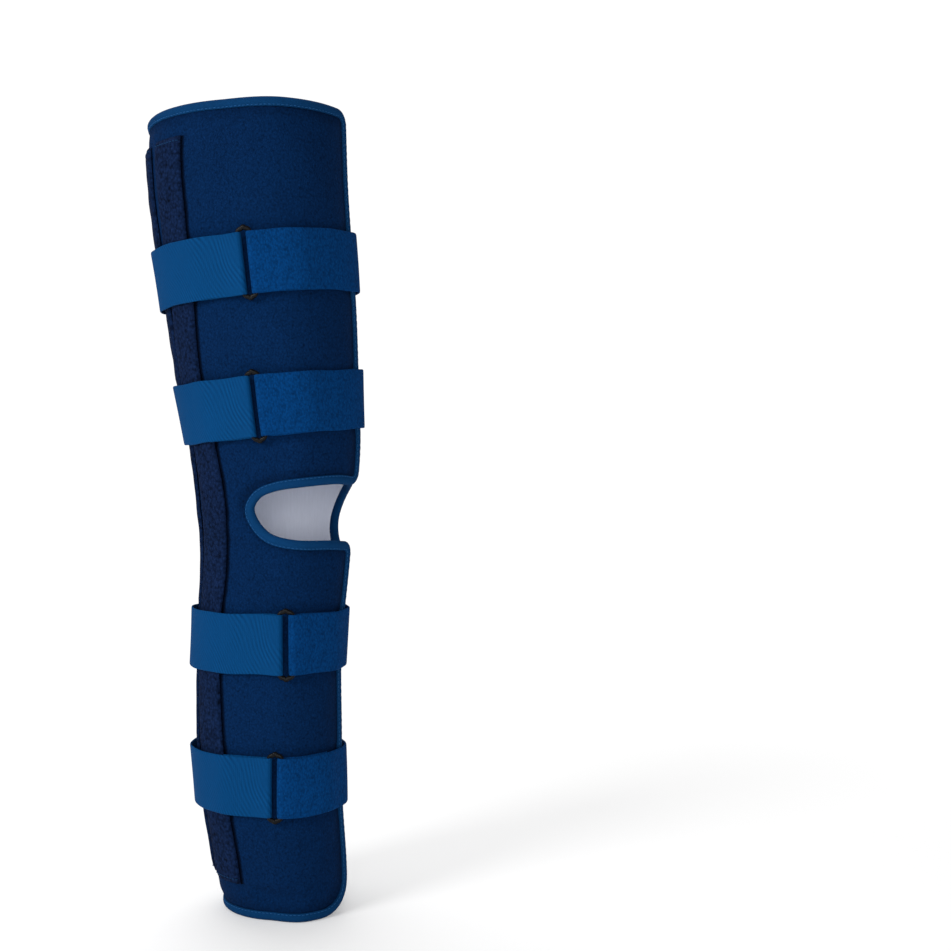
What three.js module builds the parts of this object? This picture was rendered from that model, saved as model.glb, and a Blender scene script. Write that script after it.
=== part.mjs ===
// A knee immobilizer: one foam panel wrapped round the leg, its front flap lapped over its rear flap,
// with an open window at the knee, stays in sleeves, and four straps that turn back through wire rings.
// Millimetres, +Z up. The front of the leg is -Y and its outer side is -X.
// A turn is an angle in degrees round the leg: 0 at the front, 90 at the inner side, 270 at the outer side.
import * as THREE from 'three';
import { mergeVertices } from 'three/addons/utils/BufferGeometryUtils.js';

// Overall form
const HEIGHT = 680;
const TOP_WIDTH = 170;
const DEPTH_SHARE = 1.04;
const LEAN = 30.5;
const LEAN_TURN = 225;
const KNEE_LEVEL = 343;

// Cloth and foam
const FOAM = 5;
const LINING = 1;
const BINDING_WIDTH = 8;
const GAP = 0.3;
const SOFT_GAP = 0.8;

// Front lap
const OUTER_EDGE_TURN = 382;
const INNER_EDGE_TURN = -20;
const LAP_START_TURN = 300;
const LAP_END_TURN = 336;
const TOP_CORNER_RADIUS = 13;
const BASE_CORNER_RADIUS = 30;
const WINDOW_CORNER_RADIUS = 12;
const INNER_CORNER_RADIUS = 12;

// Knee window: how far each flap's notch runs in from its edge, and the height of the notches
const WINDOW_HEIGHT = 54;
const OUTER_NOTCH = 94;
const INNER_NOTCH = 98;

// Hook strip that shows past the front flap's edge
const HOOK_THICKNESS = 1.4;
const HOOK_SHOWN = 18;
const HOOK_HIDDEN = 18;
const HOOK_RIM_MARGIN = 25;
const HOOK_WINDOW_MARGIN = 22;
const HOOK_END_DROP = 9;

// Stay sleeves
const SLEEVE_WIDTH = 38;
const SLEEVE_THICKNESS = 2.6;
const SLEEVE_BASE_MARGIN = 30;
const SLEEVE_TOP_MARGIN = 26;
const SLEEVE_SPACING = 6;
const OUTER_SIDE_TURN = 270;
const INNER_SIDE_TURN = 90;

// Straps and rings
const STRAP_WIDTH = 50;
const BAND_THICKNESS = 1.6;
const TAPE_THICKNESS = 2.2;
const RING_WIRE = 3;
const RING_WIDTH = 15.5;
const RING_PAST_STRAP = 5;
const RING_BEND = 2;
const RING_BOW = 1.2;
const FOLD_RETURN = 40;
const FOLD_EASE = 14;
const TAPE_END_TURN = 150;
const TAB_TURN = 98;

// Sections from the base to the top rim. up: share of HEIGHT. lean: share of LEAN. width: share of TOP_WIDTH.
const SECTIONS = [
  { up: 0, lean: 0, width: 0.592 },
  { up: 0.065, lean: 0.16, width: 0.638 },
  { up: 0.18, lean: 0.375, width: 0.683 },
  { up: 0.33, lean: 0.375, width: 0.69 },
  { up: 0.45, lean: 0.2, width: 0.71 },
  { up: 0.515, lean: 0.165, width: 0.762 },
  { up: 0.58, lean: 0.195, width: 0.812 },
  { up: 0.64, lean: 0.33, width: 0.857 },
  { up: 0.745, lean: 0.55, width: 0.915 },
  { up: 0.9, lean: 0.895, width: 0.965 },
  { up: 1, lean: 0.98, width: 0.97 },
];

// Notch edges from the flap's edge to the notch's end. inward: share of the notch's length.
// above, below: shares of WINDOW_HEIGHT from KNEE_LEVEL.
const OUTER_NOTCH_ROWS = [
  { inward: 0.3, above: 0.44, below: 0.43 },
  { inward: 0.62, above: 0.4, below: 0.4 },
  { inward: 0.82, above: 0.34, below: 0.3 },
  { inward: 0.95, above: 0.24, below: 0.1 },
];
const INNER_NOTCH_ROWS = [
  { inward: 0.4, above: 0.47, below: 0.56 },
  { inward: 0.74, above: 0.36, below: 0.63 },
  { inward: 0.89, above: 0.23, below: 0.52 },
  { inward: 0.97, above: 0.06, below: 0.34 },
];

// Each flap of the panel. way: sense in which turns run from the edge into the flap.
// tip: the notch's end, a share of WINDOW_HEIGHT from KNEE_LEVEL.
const OUTER_FLAP = {
  edge: OUTER_EDGE_TURN,
  way: -1,
  notch: OUTER_NOTCH,
  rows: OUTER_NOTCH_ROWS,
  mouth: { above: 0.41, below: 0.46 },
  tip: 0.08,
  topCorner: TOP_CORNER_RADIUS,
  baseCorner: BASE_CORNER_RADIUS,
  windowCorner: WINDOW_CORNER_RADIUS,
};
const INNER_FLAP = {
  edge: INNER_EDGE_TURN,
  way: 1,
  notch: INNER_NOTCH,
  rows: INNER_NOTCH_ROWS,
  mouth: { above: 0.5, below: 0.54 },
  tip: -0.14,
  topCorner: INNER_CORNER_RADIUS,
  baseCorner: INNER_CORNER_RADIUS,
  windowCorner: INNER_CORNER_RADIUS,
};

// Sleeves. side: turn of the line that they are counted from. way: sense in which they follow it to the back.
// start: distance from that line to the sleeve's front edge.
const SLEEVES = [
  { name: 'stay_sleeve_outer_side', side: OUTER_SIDE_TURN, way: -1, start: 0 },
  { name: 'stay_sleeve_outer_back', side: OUTER_SIDE_TURN, way: -1, start: SLEEVE_WIDTH + SLEEVE_SPACING },
  { name: 'stay_sleeve_inner_side', side: INNER_SIDE_TURN, way: 1, start: 0 },
  { name: 'stay_sleeve_inner_back', side: INNER_SIDE_TURN, way: 1, start: SLEEVE_WIDTH + SLEEVE_SPACING },
];

// Straps from the top down. up: mid height, a share of HEIGHT. tilt: degrees, higher at the inner front.
// ring: turn of the ring's middle.
// slack: how far the band stands off at the outer back, a share of STRAP_WIDTH.
const STRAPS = [
  { up: 0.803, tilt: 6, ring: -51, slack: 0.03 },
  { up: 0.635, tilt: 6, ring: -54, slack: 0.03 },
  { up: 0.346, tilt: 0, ring: -34, slack: 0.07 },
  { up: 0.172, tilt: 0, ring: -42, slack: 0.07 },
];
const SLACK_TURN = 225;
const SLACK_SPREAD = 70;
const TILT_TURN = 45;

// Fineness of the meshes
const ROWS_ABOVE = 7;
const ROWS_BELOW = 6;
const ROW_CROWDING = 1.3;
const SLEEVE_ROWS = 15;
const SLEEVE_COLUMNS = 3;
const FLAP_COLUMNS = 11;
const CORNER_STEPS = 3;
const BACK_COLUMNS = 24;
const HULL_STEPS = 120;
const STRAP_STEPS = 48;
const FOLD_STEPS = 4;
const FOLD_ARC_STEPS = 4;
const TAB_ANGLES = [25, 50, 70, 85];
const HOOK_COLUMNS = 3;
const HOOK_ROWS = 8;
const EVENING_STEPS = 2;
const WIRE_SIDES = 6;
const MERGE_DISTANCE = 1e-4;

// Sizes that follow from the ones above
const WALL = FOAM + GAP + LINING;
const LAP_LIFT = WALL + HOOK_THICKNESS + 2 * SOFT_GAP;
const FULL_TURN = 360;
const HALF_TURN = 180;
const DEGREE = Math.PI / HALF_TURN;
const SEAM = BINDING_WIDTH + GAP;
const BAR_OFFSET = (RING_WIDTH - RING_WIRE) / 2;
const BAR_HEIGHT = TAPE_THICKNESS + GAP + RING_WIRE / 2;
const HULL_TURN = FULL_TURN / HULL_STEPS;

// A smooth curve through a table's rows, read at a share of the height.
function along(rows, column, share) {
  const last = rows.length - 2;
  let i = 0;
  while (i < last && share > rows[i + 1].up) i += 1;
  const slope = (a, b) => (rows[b][column] - rows[a][column]) / (rows[b].up - rows[a].up);
  const span = rows[i + 1].up - rows[i].up;
  const t = (share - rows[i].up) / span;
  const enter = slope(Math.max(i - 1, 0), i + 1) * span;
  const leave = slope(i, Math.min(i + 2, rows.length - 1)) * span;
  const a = rows[i][column];
  const b = rows[i + 1][column];
  const t2 = t * t;
  const t3 = t2 * t;
  return (2 * t3 - 3 * t2 + 1) * a + (t3 - 2 * t2 + t) * enter + (3 * t2 - 2 * t3) * b + (t3 - t2) * leave;
}

function smooth(t) {
  const x = THREE.MathUtils.clamp(t, 0, 1);
  return x * x * (3 - 2 * x);
}

function heading(turn) {
  return new THREE.Vector2(Math.sin(turn * DEGREE), -Math.cos(turn * DEGREE));
}

function axisAt(z) {
  return heading(LEAN_TURN).multiplyScalar(LEAN * along(SECTIONS, 'lean', z / HEIGHT));
}

function girth(z) {
  return (TOP_WIDTH / 2) * along(SECTIONS, 'width', z / HEIGHT);
}

// Radius of the foam's outer face before any lap, slightly deeper front to back than across.
function bodyRadius(turn, z) {
  const across = girth(z) / Math.sqrt((1 + DEPTH_SHARE * DEPTH_SHARE) / 2);
  const sine = Math.sin(turn * DEGREE) / across;
  const cosine = Math.cos(turn * DEGREE) / (across * DEPTH_SHARE);
  return 1 / Math.hypot(sine, cosine);
}

function lapLift(turn) {
  return LAP_LIFT * smooth((turn - LAP_START_TURN) / (LAP_END_TURN - LAP_START_TURN));
}

// A point on the panel: depth 0 is the foam's outer face, and inward is negative.
function place(turn, z, depth) {
  const centre = axisAt(z);
  const out = heading(turn).multiplyScalar(bodyRadius(turn, z) + lapLift(turn) + depth);
  return new THREE.Vector3(centre.x + out.x, centre.y + out.y, z);
}

function degreesFor(length, z) {
  return length / girth(z) / DEGREE;
}

function flapTurn(flap, inward, z) {
  return flap.edge + flap.way * degreesFor(inward, z);
}

// A closed body from triangles, turned to face out.
function bodyFrom(points, faces) {
  let volume = 0;
  for (const [a, b, c] of faces) volume += points[a].dot(points[b].clone().cross(points[c]));
  const wanted = volume > 0 ? faces : faces.map(([a, b, c]) => [a, c, b]);
  const geometry = new THREE.BufferGeometry();
  geometry.setAttribute('position', new THREE.Float32BufferAttribute(points.flatMap((p) => p.toArray()), 3));
  geometry.setIndex(wanted.flat());
  return mergeVertices(geometry, MERGE_DISTANCE);
}

// A sheet of {turn, z} grids made into a body between two depths.
function thicken(patches, outerDepth, innerDepth) {
  const spots = [];
  const known = new Map();
  const indexOf = (spot) => {
    const key = `${spot.turn.toFixed(4)},${spot.z.toFixed(4)}`;
    if (!known.has(key)) {
      known.set(key, spots.length);
      spots.push(spot);
    }
    return known.get(key);
  };
  const faces = [];
  const edges = new Map();
  const addFace = (trio) => {
    if (new Set(trio).size < 3) return;
    const [a, b, c] = trio.map((i) => spots[i]);
    const area = (b.turn - a.turn) * (c.z - a.z) - (c.turn - a.turn) * (b.z - a.z);
    const face = area > 0 ? trio : [trio[0], trio[2], trio[1]];
    faces.push(face);
    face.forEach((from, i) => edges.set(`${from},${face[(i + 1) % 3]}`, [from, face[(i + 1) % 3]]));
  };
  for (const patch of patches) {
    for (let i = 0; i + 1 < patch.length; i += 1) {
      for (let j = 0; j + 1 < patch[i].length; j += 1) {
        const a = indexOf(patch[i][j]);
        const b = indexOf(patch[i + 1][j]);
        const c = indexOf(patch[i + 1][j + 1]);
        const d = indexOf(patch[i][j + 1]);
        addFace([a, b, c]);
        addFace([a, c, d]);
      }
    }
  }
  const count = spots.length;
  const layer = (depth) => spots.map(({ turn, z }) => place(turn, z, depth));
  const points = [...layer(outerDepth), ...layer(innerDepth)];
  const all = faces.flatMap(([a, b, c]) => [[a, b, c], [c + count, b + count, a + count]]);
  for (const [from, to] of edges.values()) {
    if (edges.has(`${to},${from}`)) continue;
    all.push([to, from, from + count], [to, from + count, to + count]);
  }
  return bodyFrom(points, all);
}

// A body through a row of like sections; a closed row joins its end to its start.
function loft(sections, closed = false) {
  const size = sections[0].length;
  const points = sections.flat();
  const faces = [];
  const quad = (a, b, c, d) => faces.push([a, b, c], [a, c, d]);
  const steps = closed ? sections.length : sections.length - 1;
  for (let i = 0; i < steps; i += 1) {
    const next = (i + 1) % sections.length;
    for (let k = 0; k < size; k += 1) {
      const after = (k + 1) % size;
      quad(i * size + k, next * size + k, next * size + after, i * size + after);
    }
  }
  if (!closed) {
    const end = (sections.length - 1) * size;
    for (let k = 0; k + 1 < size / 2; k += 1) {
      quad(k, k + 1, size - 2 - k, size - 1 - k);
      quad(end + size - 1 - k, end + size - 2 - k, end + k + 1, end + k);
    }
  }
  return bodyFrom(points, faces);
}

function between(a, b, share) {
  return a + (b - a) * share;
}

// The panel's rows lie closer together toward the knee, where its outline bends most.
function rowAbove(share) {
  return share ** ROW_CROWDING;
}

function rowBelow(share) {
  return 1 - (1 - share) ** ROW_CROWDING;
}

// The round of a flap's corner, from its upright edge to its level edge. sense: 1 curves up, -1 down.
function cornerSpots(radius, level, sense) {
  return Array.from({ length: CORNER_STEPS + 1 }, (_, i) => {
    const angle = (i / CORNER_STEPS) * (Math.PI / 2);
    return { inward: radius * (1 - Math.cos(angle)), z: level - sense * radius * (1 - Math.sin(angle)) };
  });
}

// A flap's outline as {inward, z} spots: rim, upright edge, notch, upright edge, base.
function flapOutline(flap) {
  const level = (share) => KNEE_LEVEL + share * WINDOW_HEIGHT;
  const free = FLAP_COLUMNS - CORNER_STEPS;
  const run = (radius, z) => Array.from({ length: free }, (_, i) => (
    { inward: between(radius, flap.notch, (i + 1) / free), z }
  ));
  const rim = [...cornerSpots(flap.topCorner, HEIGHT, 1), ...run(flap.topCorner, HEIGHT)];
  const base = [...cornerSpots(flap.baseCorner, 0, -1), ...run(flap.baseCorner, 0)];
  const mouthAbove = level(flap.mouth.above);
  const mouthBelow = level(-flap.mouth.below);
  const knot = (inward, z) => new THREE.Vector3(inward, z, 0);
  const curve = new THREE.CatmullRomCurve3([
    knot(flap.windowCorner, mouthAbove),
    ...flap.rows.map((row) => knot(row.inward * flap.notch, level(row.above))),
    knot(flap.notch, level(flap.tip)),
    ...flap.rows.toReversed().map((row) => knot(row.inward * flap.notch, level(-row.below))),
    knot(flap.windowCorner, mouthBelow),
  ]);
  const half = (from, to) => Array.from({ length: free }, (_, i) => {
    const p = curve.getPoint(between(from, to, (i + 1) / free));
    return { inward: p.x, z: p.y };
  });
  const notchAbove = [...cornerSpots(flap.windowCorner, mouthAbove, -1), ...half(0, 0.5)];
  const notchBelow = [...cornerSpots(flap.windowCorner, mouthBelow, 1), ...half(1, 0.5)];
  const upright = (from, to, rows, shareOf) => Array.from({ length: rows - 1 }, (_, i) => (
    { inward: 0, z: between(from.z, to.z, shareOf((i + 1) / rows)) }
  ));
  const chain = [
    ...rim.toReversed(),
    ...upright(rim[0], notchAbove[0], ROWS_ABOVE, (share) => 1 - rowAbove(1 - share)),
    ...notchAbove,
    ...notchBelow.slice(0, -1).toReversed(),
    ...upright(notchBelow[0], base[0], ROWS_BELOW, (share) => 1 - rowBelow(1 - share)),
    ...base,
  ];
  chain.forEach((spot, i) => {
    const before = chain[Math.max(i - 1, 0)];
    const after = chain[Math.min(i + 1, chain.length - 1)];
    const length = Math.hypot(after.inward - before.inward, after.z - before.z);
    const side = { inward: (before.z - after.z) / length, z: (after.inward - before.inward) / length };
    const flat = i === 0 || i === chain.length - 1;
    const inset = flat ? { inward: 0, z: Math.sign(HEIGHT / 2 - spot.z) } : side;
    spot.seam = { inward: spot.inward + SEAM * inset.inward, z: spot.z + SEAM * inset.z };
  });
  const onPanel = (spot) => ({ turn: flapTurn(flap, spot.inward, spot.z), z: spot.z });
  const station = (spot) => ({ edge: onPanel(spot), seam: onPanel(spot.seam) });
  return {
    rim: rim.map(station),
    base: base.map(station),
    notchAbove: notchAbove.map(station),
    notchBelow: [...notchBelow.slice(0, -1), notchAbove.at(-1)].map(station),
    edge: chain.slice(FLAP_COLUMNS - CORNER_STEPS, chain.length - (FLAP_COLUMNS - CORNER_STEPS)).map(station),
    panelTurn: (inward, z) => flapTurn(flap, inward, z),
    columns: rim.map((_, k) => ({
      top: rim[k].seam,
      above: notchAbove[k].seam,
      below: k < FLAP_COLUMNS ? notchBelow[k].seam : notchAbove[k].seam,
      foot: base[k].seam,
    })),
  };
}

const outerFlap = flapOutline(OUTER_FLAP);
const innerFlap = flapOutline(INNER_FLAP);

// Grids of the panel inside its bindings: each flap above and below its notch, and the back between them.
function panelPatches() {
  const column = (flap, from, to, rows, shareOf) => Array.from({ length: rows + 1 }, (_, j) => {
    const share = shareOf(j / rows);
    const z = between(from.z, to.z, share);
    return { turn: flap.panelTurn(between(from.inward, to.inward, share), z), z };
  });
  const upper = (flap) => flap.columns.map((c) => column(flap, c.above, c.top, ROWS_ABOVE, rowAbove));
  const lower = (flap) => flap.columns.map((c) => column(flap, c.foot, c.below, ROWS_BELOW, rowBelow));
  const back = (start, end) => Array.from({ length: BACK_COLUMNS + 1 }, (_, i) => start.map((spot, j) => {
    const share = i / BACK_COLUMNS;
    return { turn: between(spot.turn, end[j].turn, share), z: between(spot.z, end[j].z, share) };
  }));
  const patches = [upper(innerFlap), lower(innerFlap), upper(outerFlap), lower(outerFlap)];
  return [
    ...patches,
    back(patches[0].at(-1), patches[2].at(-1)),
    back(patches[1].at(-1), patches[3].at(-1)),
  ];
}

// A binding along a row of {edge, seam} stations, rounded over the bare edge.
const BINDING_SECTION = [
  { inset: 0, through: 0.2 },
  { inset: 0, through: 0.8 },
  { inset: 0.2, through: 1 },
  { inset: 1, through: 1 },
  { inset: 1, through: 0 },
  { inset: 0.2, through: 0 },
];
function binding(stations) {
  const width = BINDING_WIDTH / SEAM;
  return loft(stations.map(({ edge, seam }) => BINDING_SECTION.map(({ inset, through }) => place(
    between(edge.turn, seam.turn, inset * width),
    between(edge.z, seam.z, inset * width),
    WALL * (through - 1),
  ))));
}

// A binding along a level rim, from one flap's corner round the back to the other's.
function rimBinding(inner, outer) {
  const start = inner.slice(CORNER_STEPS);
  const end = outer.slice(CORNER_STEPS).toReversed();
  const last = start.at(-1);
  const first = end[0];
  const mix = (a, b, share) => ({ turn: between(a.turn, b.turn, share), z: between(a.z, b.z, share) });
  const back = Array.from({ length: BACK_COLUMNS - 1 }, (_, i) => {
    const share = (i + 1) / BACK_COLUMNS;
    return { edge: mix(last.edge, first.edge, share), seam: mix(last.seam, first.seam, share) };
  });
  const shift = (station, way) => {
    const nudge = (spot) => ({ turn: spot.turn + way * degreesFor(GAP, spot.z), z: spot.z });
    return { edge: nudge(station.edge), seam: nudge(station.seam) };
  };
  const innerHalf = [shift(start[0], 1), ...start.slice(1)];
  const outerHalf = [...end.slice(0, -1), shift(end.at(-1), -1)];
  return binding([...innerHalf, ...back, ...outerHalf]);
}

// A strip along the leg between two heights, width split into columns.
function uprightStrip(turnAt, footAt, topAt, columns, rows, outerDepth, innerDepth) {
  const grid = Array.from({ length: columns + 1 }, (_, i) => Array.from({ length: rows + 1 }, (__, j) => {
    const z = between(footAt(i / columns), topAt(i / columns), j / rows);
    return { turn: turnAt(i / columns, z), z };
  }));
  return thicken([grid], outerDepth, innerDepth);
}

function staySleeve({ side, way, start }) {
  return uprightStrip(
    (share, z) => side + way * degreesFor(start + share * SLEEVE_WIDTH, z),
    () => SLEEVE_BASE_MARGIN,
    () => HEIGHT - SLEEVE_TOP_MARGIN,
    SLEEVE_COLUMNS,
    SLEEVE_ROWS,
    SOFT_GAP + SLEEVE_THICKNESS,
    SOFT_GAP,
  );
}

function hookStrip(foot, top, footRise, topDrop) {
  return uprightStrip(
    (share, z) => flapTurn(OUTER_FLAP, between(HOOK_HIDDEN, -HOOK_SHOWN, share), z),
    (share) => foot + footRise * share,
    (share) => top - topDrop * share,
    HOOK_COLUMNS,
    HOOK_ROWS,
    -WALL - SOFT_GAP,
    -WALL - SOFT_GAP - HOOK_THICKNESS,
  );
}

// How far the wrap and its sleeves reach from the axis, over which the straps are drawn.
function reach(turn, z) {
  const lapTurn = turn < INNER_EDGE_TURN + FULL_TURN ? turn + FULL_TURN : turn;
  const hookEnd = OUTER_EDGE_TURN + degreesFor(HOOK_SHOWN, z) + HULL_TURN;
  let lift = lapLift(turn);
  if (lapTurn <= hookEnd) lift = Math.max(lift, LAP_LIFT - WALL);
  if (lapTurn <= OUTER_EDGE_TURN + HULL_TURN) lift = Math.max(lift, lapLift(lapTurn));
  for (const { side, way, start } of SLEEVES) {
    const into = (turn - side) * way - degreesFor(start, z);
    const inSleeve = into >= -HULL_TURN && into <= degreesFor(SLEEVE_WIDTH, z) + HULL_TURN;
    if (inSleeve) lift = SOFT_GAP + SLEEVE_THICKNESS;
  }
  return bodyRadius(turn, z) + lift;
}

// Convex outline of a set of plan points.
function convexOutline(spots) {
  const sorted = [...spots].sort((a, b) => a.x - b.x || a.y - b.y);
  const cross = (o, a, b) => (a.x - o.x) * (b.y - o.y) - (a.y - o.y) * (b.x - o.x);
  const half = (list) => {
    const hull = [];
    for (const spot of list) {
      while (hull.length > 1 && cross(hull.at(-2), hull.at(-1), spot) <= 0) hull.pop();
      hull.push(spot);
    }
    return hull.slice(0, -1);
  };
  return [...half(sorted), ...half(sorted.toReversed())];
}

// One edge of a strap: the taut line round the wrap at that height, measured along from the ring.
function strapLine(strap, rise) {
  const centre = axisAt(strap.up * HEIGHT);
  const tiltReach = Math.tan(strap.tilt * DEGREE) * girth(strap.up * HEIGHT);
  const heightAt = (turn) => {
    const tilt = tiltReach * Math.cos((turn - TILT_TURN) * DEGREE);
    return strap.up * HEIGHT + tilt + rise;
  };
  const spots = Array.from({ length: HULL_STEPS }, (_, i) => {
    const turn = i * HULL_TURN;
    const z = heightAt(turn);
    return heading(turn).multiplyScalar(reach(turn, z)).add(axisAt(z));
  });
  const outline = convexOutline(spots);
  const tautRadius = (turn) => {
    const ray = heading(turn);
    for (let i = 0; i < outline.length; i += 1) {
      const a = outline[i].clone().sub(centre);
      const side = outline[(i + 1) % outline.length].clone().sub(centre).sub(a);
      const bottom = ray.cross(side);
      const out = a.cross(side) / bottom;
      const share = a.cross(ray) / bottom;
      if (out > 0 && share >= 0 && share <= 1) return out;
    }
    return girth(strap.up * HEIGHT);
  };
  const evened = (turn) => {
    const near = Array.from({ length: 2 * EVENING_STEPS + 1 }, (_, i) => (
      tautRadius(turn + (i - EVENING_STEPS) * HULL_TURN)
    ));
    return Math.max(near.reduce((sum, radius) => sum + radius, 0) / near.length, near[EVENING_STEPS]);
  };
  const slack = (turn) => {
    const away = THREE.MathUtils.euclideanModulo(turn - SLACK_TURN + HALF_TURN, FULL_TURN) - HALF_TURN;
    return strap.slack * STRAP_WIDTH * (1 - smooth(Math.abs(away) / SLACK_SPREAD));
  };
  const line = [];
  let travelled = 0;
  for (let i = 0; i <= HULL_STEPS; i += 1) {
    const turn = strap.ring + FULL_TURN + i * HULL_TURN;
    const spot = heading(turn).multiplyScalar(evened(turn) + SOFT_GAP + slack(turn)).add(centre);
    if (i > 0) travelled += spot.distanceTo(line[i - 1].spot);
    line.push({ spot, turn, travelled });
  }
  const total = travelled;
  line.forEach((knot, i) => {
    const ahead = line[(i + 1) % HULL_STEPS].spot;
    const behind = line[(i + HULL_STEPS - 1) % HULL_STEPS].spot;
    knot.normal = new THREE.Vector2(ahead.y - behind.y, behind.x - ahead.x).normalize();
  });
  // A point at a distance along the line, off it by a height; distances run toward the inner side.
  const at = (distance, off) => {
    const wrapped = THREE.MathUtils.euclideanModulo(distance, total);
    let i = 0;
    while (i < HULL_STEPS - 1 && line[i + 1].travelled < wrapped) i += 1;
    const share = (wrapped - line[i].travelled) / (line[i + 1].travelled - line[i].travelled);
    const spot = line[i].spot.clone().lerp(line[i + 1].spot, share);
    const normal = line[i].normal.clone().lerp(line[i + 1].normal, share).normalize();
    const turn = between(line[i].turn, line[i + 1].turn, share);
    return new THREE.Vector3(spot.x + normal.x * off, spot.y + normal.y * off, heightAt(turn));
  };
  const distanceTo = (turn) => {
    const steps = THREE.MathUtils.euclideanModulo(turn - strap.ring, FULL_TURN) / HULL_TURN;
    const i = Math.floor(steps);
    const share = steps - i;
    return between(line[i].travelled, line[i + 1].travelled, share);
  };
  return { at, total, distanceTo };
}

// A strap's route as {along, off} spots from the end folded back under, round the ring's bar, and on.
// way: 1 runs to the inner side, -1 to the outer side. step: spacing of the spots that all layers share.
function foldRoute(thickness, way, length, step, lifts) {
  const under = thickness / 2;
  const turnBack = RING_WIRE / 2 + GAP + thickness / 2;
  const over = under + thickness + GAP;
  const evenly = (from, to, offAt) => Array.from({ length: FOLD_STEPS }, (_, i) => {
    const share = (i + 1) / FOLD_STEPS;
    return { along: between(from, to, share), off: offAt(share) };
  });
  const fold = BAR_OFFSET + FOLD_EASE;
  const returned = BAR_OFFSET + FOLD_RETURN;
  const route = [
    { along: returned, off: under },
    ...evenly(returned, fold, () => under),
    { along: between(BAR_OFFSET, fold, 0.5), off: between(under, BAR_HEIGHT - turnBack, 0.5) },
    ...Array.from({ length: FOLD_ARC_STEPS + 1 }, (_, i) => {
      const angle = (i / FOLD_ARC_STEPS) * Math.PI;
      return { along: BAR_OFFSET - turnBack * Math.sin(angle), off: BAR_HEIGHT - turnBack * Math.cos(angle) };
    }),
    { along: between(BAR_OFFSET, fold, 0.5), off: between(over, BAR_HEIGHT + turnBack, 0.5) },
    { along: fold, off: over },
    ...evenly(fold, returned, () => over),
  ];
  const first = Math.ceil((returned + FOLD_EASE) / step);
  for (let i = first; i * step < length - step / 4; i += 1) {
    route.push({ along: i * step, off: under + lifts(i * step) });
  }
  route.push({ along: length, off: under + lifts(length) });
  return route.map((spot) => ({ along: way * spot.along, off: spot.off }));
}

// A band along a route between a strap's two edge lines, with a square or a rounded end.
function band(lower, upper, route, thickness, roundEnd) {
  const end = Math.abs(route.at(-1).along);
  const radius = STRAP_WIDTH / 2;
  const stations = [...route];
  if (roundEnd) {
    const last = route.at(-1);
    const way = Math.sign(last.along);
    for (const angle of TAB_ANGLES) {
      stations.push({ along: last.along + way * radius * Math.sin(angle * DEGREE), off: last.off });
    }
  }
  const narrowing = (spot) => {
    const past = Math.max(Math.abs(spot.along) - end, 0) / radius;
    return 1 - Math.sqrt(Math.max(1 - past * past, 0));
  };
  const middle = (line) => stations.map((spot) => line.at(spot.along, spot.off));
  const low = middle(lower);
  const high = middle(upper);
  const sections = stations.map((spot, i) => {
    const before = Math.max(i - 1, 0);
    const after = Math.min(i + 1, stations.length - 1);
    const corner = (points, other, outward) => {
      const run = points[after].clone().sub(points[before]);
      const side = new THREE.Vector3(run.y, -run.x, 0).normalize().multiplyScalar((outward * thickness) / 2);
      return points[i].clone().lerp(other[i], narrowing(spot) / 2).add(side);
    };
    return [corner(low, high, 1), corner(high, low, 1), corner(high, low, -1), corner(low, high, -1)];
  });
  return loft(sections);
}

// A ring of round wire: two bars in the folds, joined by bowed ends past the strap's edges.
function wireRing(lower, upper) {
  const reachUp = STRAP_WIDTH / 2 + RING_PAST_STRAP - RING_WIRE / 2;
  const shoulder = RING_BEND * (1 - Math.SQRT1_2);
  const bend = [
    [BAR_OFFSET, reachUp - RING_BOW - RING_BEND],
    [BAR_OFFSET - shoulder, reachUp - RING_BOW - shoulder],
    [BAR_OFFSET - RING_BEND, reachUp - RING_BOW / 2],
  ];
  const end = [...bend, [0, reachUp], ...bend.toReversed().map(([across, up]) => [-across, up])];
  const path = [
    [BAR_OFFSET, 0],
    ...end,
    [-BAR_OFFSET, 0],
    ...end.map(([across, up]) => [-across, -up]),
  ];
  const spots = path.map(([across, up]) => {
    const low = lower.at(across, BAR_HEIGHT);
    return low.add(upper.at(across, BAR_HEIGHT).sub(low).multiplyScalar(up / STRAP_WIDTH + 0.5));
  });
  const low = lower.at(0, 0);
  const outward = lower.at(0, 1).sub(low);
  const sections = spots.map((spot, i) => {
    const ahead = spots[(i + 1) % spots.length];
    const behind = spots[(i + spots.length - 1) % spots.length];
    const run = ahead.clone().sub(behind).normalize();
    const side = outward.clone().cross(run).normalize();
    const up = run.clone().cross(side).normalize();
    return Array.from({ length: WIRE_SIDES }, (_, k) => {
      const angle = (k / WIRE_SIDES) * 2 * Math.PI;
      const arm = side.clone().multiplyScalar(Math.cos(angle)).addScaledVector(up, Math.sin(angle));
      return spot.clone().addScaledVector(arm, RING_WIRE / 2);
    });
  });
  return loft(sections, true);
}

const cloth = (color, roughness) => new THREE.MeshStandardMaterial({ color, roughness, metalness: 0 });
const velour = cloth('#0b2a58', 0.95);
const liningCloth = cloth('#a5a6b0', 0.9);
const bindingTape = cloth('#1a4f82', 0.85);
const sleeveCloth = cloth('#161a3a', 0.95);
const webbing = cloth('#0f4f8a', 0.8);
const loopTape = cloth('#073f80', 0.95);
const hookTape = cloth('#1c4a7c', 0.85);
const wire = new THREE.MeshStandardMaterial({ color: '#08080a', roughness: 0.25, metalness: 0.4 });

const wrap = new THREE.Group();
function add(name, geometry, material) {
  const mesh = new THREE.Mesh(geometry, material);
  mesh.name = name;
  wrap.add(mesh);
}

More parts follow.
